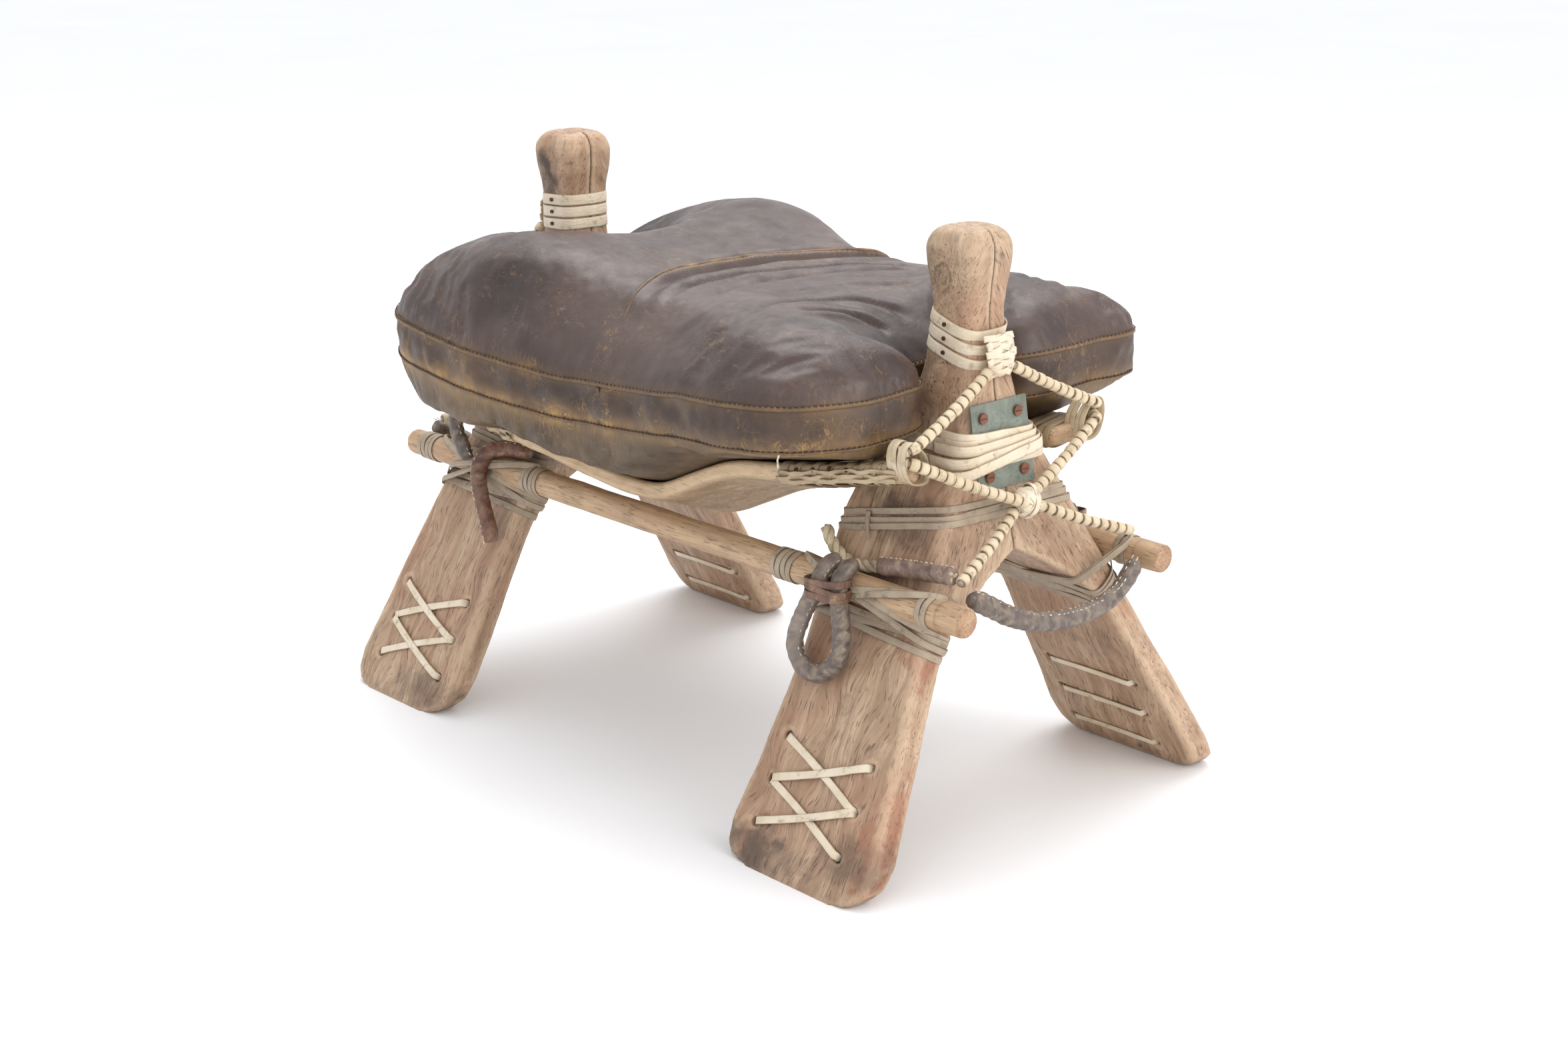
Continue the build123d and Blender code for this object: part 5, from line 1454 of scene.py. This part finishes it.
def lattice(end):
    """Cords wound closely with flat hide, from the collar knot to the board tips and across to the rods."""
    at_front = end == FRONT
    tip_x, tip_z = (300, 333) if at_front else (309, 281)
    mid_z = 276 if at_front else 256
    coil = coil_shape(3.0 * MM, 8.0 * MM, 1.9 * MM)
    cores, runs = [], {"upper": [], "middle": [], "lower": []}
    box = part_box(f"{end}_collar_knot")
    knot_x, knot_z = (box[1].x if at_front else -box[0].x) - 6 * MM, (box[0].z + box[1].z) / 2
    for side in SIDES.values():
        top = (knot_x, side * 14 * MM, knot_z - 9 * MM)
        tip = (tip_x * MM, side * 108 * MM, tip_z * MM)
        low = (tip_x * MM, side * 108 * MM, (tip_z - 10) * MM)
        middle = ((322 - side * 4.9) * MM, side * 4 * MM, mid_z * MM)
        past = ((322 - side * 4.9) * MM, -side * 4 * MM, (mid_z - 2) * MM)
        rod_end = (346 * MM, -side * 101 * MM, 236 * MM)
        for label, a, b in (("upper", top, tip), ("middle", low, middle), ("lower", past, rod_end)):
            a, b = np.array(a), np.array(b)
            sag = np.array([0.5, 0, -1.0]) * 2.0 * MM
            line = [a + (b - a) * s + sag * math.sin(math.pi * s) for s in np.linspace(0, 1, 40)]
            tuck = np.array([-11 * MM, side * 3 * MM, -2 * MM])
            if label == "upper":
                line += [b + tuck * 0.4, b + tuck]
            if label == "middle":
                line = [a + tuck, a + tuck * 0.4] + line
            line = softened(resampled(line, 2.5 * MM, False), 3, False)
            line[:, 0] *= ENDS[end]
            outs = carried(line, (ENDS[end], 0, 0.2))
            cores.append(drawn(line, outs, round_profile(2.9 * MM, 10)))
            runs[label].append((line[2:-2], outs[2:-2], False))
    place_piece(joined(f"{end}_lattice_cores", cores, old_hide), "frame", "rawhide", f"{end}_lattice_cords")
    for label, seed in (("upper", 1), ("middle", 2), ("lower", 3)):
        spacing = (9.4 if label == "lower" else 8.3) * MM
        piece = copies(f"{end}_{label}_coils", runs[label], coil, spacing, handled_hide, 0.07, 0.09, seed)
        place_piece(piece, "frame", "rawhide", f"{end}_{label}_cord_wraps")
    woven_knot(f"{end}_crossing_knot", (322 * ENDS[end] * MM, 0, mid_z * MM), (10 * MM, 11 * MM, 13 * MM),
               end,
               f"{end}_lattice_knot")
    collar_knot(end)
    tip_wraps(end)


def collar_knot(end):
    """Strap ends plaited over each other down the face of the post."""
    low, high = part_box(f"{end}_collar_knot")
    face, middle = (high.x if end == FRONT else -low.x), (low.z + high.z) / 2
    pad_points, pad_faces = ball(np.array([(face - 7 * MM) * ENDS[end], 0, middle]),
                                 np.array([5.5, 14, 16]) * MM)
    parts = [(pad_points, pad_faces, [(0.1, 0.5)] * sum(len(f) for f in pad_faces))]
    for way in (-1, 1):
        for i in range(5):
            line, outs = [], []
            for share in np.linspace(0, 1, 26):
                y = way * (-15.5 + 31 * share)
                z = 15.5 - 6.4 * i - 6 * share + 3 * math.sin(math.pi * share)
                bulge = (y / 17) ** 2 + (z / 19) ** 2
                over = 0.9 * math.cos(math.pi * (4 * share + i + (way > 0)))
                x = face - (2.2 + 5.5 * bulge - over) * MM
                line.append((x * ENDS[end], y * MM, middle + z * MM))
                outs.append((ENDS[end], y / 30, z / 35))
            parts.append(strip(np.array(line), np.array(outs), 5.6 * MM, 1.2 * MM, seed=110 + i))
    place_piece(joined(f"{end}_plaited_collar_knot", parts, new_hide), "frame", "rawhide",
                f"{end}_collar_knot")


def tip_wraps(end):
    """Flat turns that tie the lattice cords to the tips of the side boards."""
    wood_top, cord_z = (321, 333) if end == FRONT else (268, 281)
    corners = [(90, wood_top - 15.5), (103, wood_top - 15.5), (109, wood_top - 12), (114, cord_z - 11),
               (114, cord_z),
               (110, cord_z + 4.5), (104, cord_z + 5), (92, wood_top + 2.5)]
    parts = []
    for side in (-1, 1):
        for i, (x, lean) in enumerate([(282.5, 0.05), (288, -0.04), (293.5, 0.1), (298, -0.02)]):
            flat = softened(resampled([(0, y, z) for y, z in corners], 2.4, True), 4, True)
            middle = flat.mean(axis=0)
            outs = flat - middle
            outs /= np.linalg.norm(outs, axis=1)[:, None]
            flat = flat + outs * (0.5 + 0.25 * (i % 2))
            line = np.column_stack([(x + lean * (flat[:, 2] - middle[2])) * ENDS[end], side * flat[:, 1],
                                    flat[:, 2]])
            if side < 0:
                line, outs = line[::-1], outs[::-1]
            parts.append(strip(line * MM, outs * [1, side, 1], 5.6 * MM, 1.2 * MM, True, seed=120 + i))
    place_piece(joined(f"{end}_tip_wraps", parts, handled_hide), "frame", "rawhide")


def woven_knot(name, centre, half, end, node):
    """Flat strips that cross over a core, as in a turk's head."""
    centre, half = np.array(centre), np.array(half)
    parts = []
    for i in range(7):
        turn = math.pi * (i / 7 + 0.12)
        lean = 0.3 * (-1) ** i
        first = np.array([lean, math.cos(turn), math.sin(turn)])
        first /= np.linalg.norm(first)
        second = np.cross(first, [0, -math.sin(turn), math.cos(turn)])
        second /= np.linalg.norm(second)
        line, outs = [], []
        for t in np.linspace(0, 2 * math.pi, 40, endpoint=False):
            way = first * math.cos(t) + second * math.sin(t)
            way[0] *= ENDS[end]
            grow = 0.86 + 0.07 * (i % 3) + 0.06 * math.cos(3 * t + i)
            line.append(centre + way * half * grow)
            outs.append(way)
        parts.append(strip(np.array(line), np.array(outs), 5.6 * MM, 1.4 * MM, True, seed=100 + i))
    ball_points, ball_faces = ball(centre, half * 0.8)
    parts.append((ball_points, ball_faces, [(0.1, 0.5)] * sum(len(f) for f in ball_faces)))
    return place_piece(joined(name, parts, new_hide), "frame", "rawhide", node)


def ball(centre, half, rings=8, around=14):
    """Closed egg shape."""
    points = [centre + np.array([0, 0, half[2]])]
    for i in range(1, rings):
        t = math.pi * i / rings
        for j in range(around):
            p = 2 * math.pi * j / around
            points.append(centre + half * np.array([math.sin(t) * math.cos(p), math.sin(t) * math.sin(p),
                                                    math.cos(t)]))
    points.append(centre - np.array([0, 0, half[2]]))
    faces = [(0, 1 + j, 1 + (j + 1) % around) for j in range(around)]
    for i in range(rings - 2):
        a, b = 1 + i * around, 1 + (i + 1) * around
        faces += [(a + j, b + j, b + (j + 1) % around, a + (j + 1) % around) for j in range(around)]
    last = len(points) - 1
    faces += [(last, last - around + (j + 1) % around, last - around + j) for j in range(around)]
    return np.array(points), faces


# Ropes

tie_route = [(0.193, -0.0965, 0.247), (0.199, -0.0985, 0.238), (0.212, -0.1005, 0.229),
             (0.232, -0.1013, 0.2236),
             (0.262, -0.102, 0.2305), (0.300, -0.1015, 0.236), (0.338, -0.101, 0.240)]
swag_route = [(0.3574, -0.1002, 0.2264), (0.3585, -0.081, 0.2155), (0.359, -0.059, 0.202),
              (0.3595, -0.032, 0.1915),
              (0.3595, 0.002, 0.185), (0.359, 0.036, 0.184), (0.358, 0.066, 0.1895), (0.357, 0.083, 0.2005),
              (0.3565, 0.0943, 0.213)]
rear_tie_route = [(0.258, -0.1315, 0.279), (0.270, -0.132, 0.268), (0.2755, -0.133, 0.252),
                  (0.2675, -0.134, 0.237),
                  (0.254, -0.135, 0.2225)]
loop_route = [(0.230, -0.119, 0.234), (0.2285, -0.1325, 0.230), (0.226, -0.139, 0.213),
              (0.211, -0.141, 0.186),
              (0.205, -0.1455, 0.1625), (0.2215, -0.1505, 0.146), (0.2455, -0.1505, 0.146),
              (0.261, -0.1455, 0.1625),
              (0.259, -0.141, 0.186), (0.251, -0.139, 0.213), (0.2495, -0.1325, 0.230),
              (0.249, -0.119, 0.234)]
tail_route = [(0.190, -0.111, 0.2343), (0.208, -0.113, 0.2343), (0.224, -0.1205, 0.2342),
              (0.233, -0.132, 0.229),
              (0.232, -0.1395, 0.210), (0.225, -0.141, 0.189), (0.212, -0.1435, 0.167),
              (0.206, -0.1455, 0.154)]


def leather_tube(name, route, diameter, flange, material, seed):
    """Leather sewn round rope: wrinkled tube with a stitched flange on one side, and its stitches."""
    line = nurbs_line(route)
    outs = carried(line, flange)
    radius = diameter / 2
    profile = []
    for i in range(20):
        t = 2 * math.pi * i / 20
        grow = 0.9 + 0.1 * max(0, math.cos(t)) ** 14 * 3.2
        profile.append((radius * grow * math.sin(t), radius * min(grow, 1.08) * math.cos(t)))
    run = np.arange(len(line))
    ripples = 0.03 * np.sin(run * 1.35 + 2 * ripple(line, 60, seed, 2)) + 0.05 * ripple(line, 45, seed + 1, 2)
    taper = np.minimum(1, 0.72 + 0.1 * np.minimum(run, run[::-1]))
    tube = joined(name, [drawn(line, outs, profile, False, (0.97 + ripples) * taper)], material)
    points = points_of(tube)
    wrinkle = ripple(points * np.array([1, 1, 1.6]), 130, seed + 2, 3)
    set_points(tube, points + normals_of(tube) * (0.35 * wrinkle * MM)[:, None])
    rub = np.clip(0.25 + 0.6 * wrinkle, 0, 0.8)
    paint(tube, "marks", np.column_stack([rub, 0.3 + 0 * rub, 0 * rub]))
    ahead = directions(line, False)
    side = np.cross(ahead, outs)
    seam = (line + outs * radius * 0.92 + side * 1.9 * MM, side * 0.9 + outs * 0.5, False)
    other = (line + outs * radius * 0.92 - side * 1.9 * MM, -side * 0.9 + outs * 0.5, False)
    stitches = copies(name + "_stitches", [seam, other], STITCH, 5.2 * MM, pale_thread, 0.15, 0.1, seed)
    return tube, stitches, line


def add_cord(piece, body, slot, nodes, with_pieces):
    """Declares a free cord and what is on it."""
    place_piece(piece, body, slot, *nodes)
    for extra in with_pieces:
        place_piece(extra, body, slot)


STITCH = stitch_shape(3.6 * MM, 1.0 * MM)
TACK = tack_shape()


def flipped(route, end, side):
    return [tuple(p) for p in mirrored(route, end, side)]


def make_ropes():
    """Swags, hanging loops, tails and ties, each with its leather and stitches."""
    for end in ENDS:
        tube, stitches, line = leather_tube(f"{end}_swag_rope", flipped(swag_route, end, RIGHT), 17 * MM,
                                            (0.3 * ENDS[end], 0, 1), grey_leather, 3)
        add_cord(tube, "frame", "grey_leather", [f"{end}_swag"], [stitches])
    for side in SIDES:
        tube, stitches, line = leather_tube(f"front_{side}_hanging_loop", flipped(loop_route, FRONT, side),
                                            16 * MM,
                                            (1, 0, 0), grey_leather, 5)
        add_cord(tube, f"front_{side}_loop", "grey_leather", [f"front_{side}_loop"],
                 [stitches])
        bind_throat(side)
        tube, stitches, line = leather_tube(f"rear_{side}_hanging_tail", flipped(tail_route, REAR, side),
                                            16 * MM,
                                            (0, 0, 1), brown_leather, 7)
        add_cord(tube, f"rear_{side}_tail", "brown_leather", [f"rear_{side}_tail"],
                 [stitches])
    tube, stitches, _ = leather_tube("rear_right_tie", flipped(rear_tie_route, REAR, RIGHT), 16 * MM,
                                     (1, 0, 0),
                                     grey_leather, 9)
    place_piece(tube, "frame", "brown_leather", "rear_tie")
    place_piece(stitches, "frame", "brown_leather")
    twisted_rope()


def bind_throat(side):
    """Dark leather turns that draw the two strands of a front loop together."""
    parts = []
    for i, (z, lean) in enumerate([(221, 0.12), (215.5, -0.06), (210, 0.05)]):
        line, outs = [], []
        for t in np.linspace(0, 2 * math.pi, 60, endpoint=False):
            c, s = math.cos(t), math.sin(t)
            half = 21.5 - 0.6 * i
            x = half * math.copysign(abs(c) ** 0.75, c)
            y = 9.4 * math.copysign(abs(s) ** 0.6, s) * (1 - 0.14 * math.exp(-(x / 5) ** 2))
            line.append((0.2387 + x * MM, (-138.6 - 0.05 * (220 - z) + y) * MM, (z + lean * x) * MM))
            outs.append((c, 1.5 * s, 0))
        line, outs = softened(np.array(line), 2, True), np.array(outs)
        if side == LEFT:
            line, outs = (line * [1, -1, 1])[::-1], (outs * [1, -1, 1])[::-1]
        parts.append(strip(line, outs, 6.2 * MM, 1.3 * MM, True, seed=130 + i))
    band = joined(f"front_{side}_loop_throat", parts, brown_leather)
    rub = np.clip(0.35 + 0.5 * ripple(points_of(band), 90, 3, 2), 0, 1)
    paint(band, "marks", np.column_stack([rub, 0 * rub, 0.3 + 0 * rub]))
    place_piece(band, f"front_{side}_loop", "brown_leather")


def twisted_rope():
    """Three-strand cotton rope at the front right, with a stitched leather sleeve."""
    line = nurbs_line(tie_route)
    outs = carried(line, (0, 0, 1))
    side = np.cross(directions(line, False), outs)
    run = np.arange(len(line)) * 2 * MM
    parts = []
    for strand in range(3):
        turn = 2 * math.pi * (run / (30 * MM) + strand / 3)
        out = outs * np.cos(turn)[:, None] + side * np.sin(turn)[:, None]
        parts.append(drawn(line + out * 2.7 * MM, out, round_profile(2.75 * MM, 10)))
    rope = joined("front_tie_strands", parts, cotton)
    covered = line[int(len(line) * 0.5):]
    sleeve_outs = carried(covered, (0.2, 0, 1))
    profile = [(7.2 * MM * math.sin(t), 7.0 * MM * math.cos(t) * (1.1 if abs(t) < 0.5 else 1))
               for t in np.linspace(-math.pi, math.pi, 20, endpoint=False)]
    sleeve = joined("front_rope_leather", [drawn(covered, sleeve_outs, profile)], faded_leather)
    points = points_of(sleeve)
    wrinkle = ripple(points, 120, 13, 3)
    set_points(sleeve, points + normals_of(sleeve) * (0.4 * wrinkle * MM)[:, None])
    paint(sleeve, "marks", np.column_stack([np.clip(0.3 + 0.6 * wrinkle, 0, 1), 0.3 + 0 * wrinkle,
                                            0 * wrinkle]))
    stitches = copies("front_rope_leather_stitches",
                      [(covered + sleeve_outs * 7.6 * MM, sleeve_outs, False)], STITCH,
                      5.4 * MM, pale_thread, 0.15, 0.1, 4)
    place_piece(rope, "frame", "twisted_rope", "front_tie_rope")
    place_piece(sleeve, "frame", "grey_leather", "front_rope_sleeve")
    place_piece(stitches, "frame", "grey_leather")


# The whole stool

def finish_metal():
    """Plates, screws and tacks keep their CAD shape and get their metal."""
    for end in ENDS:
        for node, material in ((f"{end}_joint_plate", sheet_metal), (f"{end}_plate_screws", copper),
                               (f"{end}_collar_tacks", iron)):
            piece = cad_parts[node]
            for place in piece.material_slots:
                place.material = material
            if not piece.material_slots:
                piece.data.materials.append(material)


set_camera()
make_ropes()
for end in ENDS:
    for side in SIDES:
        woods[end, side] = carve_leg(end, side)
for side in SIDES:
    woods[side] = carve_board(side)
    woods["rod", side] = peel_rod(side)
make_cushion()
for end in ENDS:
    shoulder_lashing(end)
    lower_lashing(end)
    collar(end)
    lattice(end)
    for side in SIDES:
        board_binding(end, side)
        rod_lashing(end, side)
        lacing(end, side)
finish_metal()

corners = [(-16, -16, 0), (16, -16, 0), (16, 16, 0), (-16, 16, 0)]
floor = new_piece("studio_floor", corners, [(0, 1, 2, 3)], sealed_floor(), smooth=False)
bpy.context.scene.view_settings.view_transform = "Standard"
world = bpy.data.worlds.new("studio")
bpy.context.scene.world = world
world.use_nodes = True
world.node_tree.nodes["Background"].inputs[0].default_value = linear("#f6f8fb")
world.node_tree.nodes["Background"].inputs[1].default_value = 1.15
add_lamp("overhead", (-0.6, 0.8, 2.6), 2.4, 48, "#ffffff")
add_lamp("camera_side", (1.8, -2.4, 1.6), 2.0, 6, "#fff8f0")
add_lamp("window_side", (2.7, 0.5, 1.5), 2.0, 36, "#fffaf4")
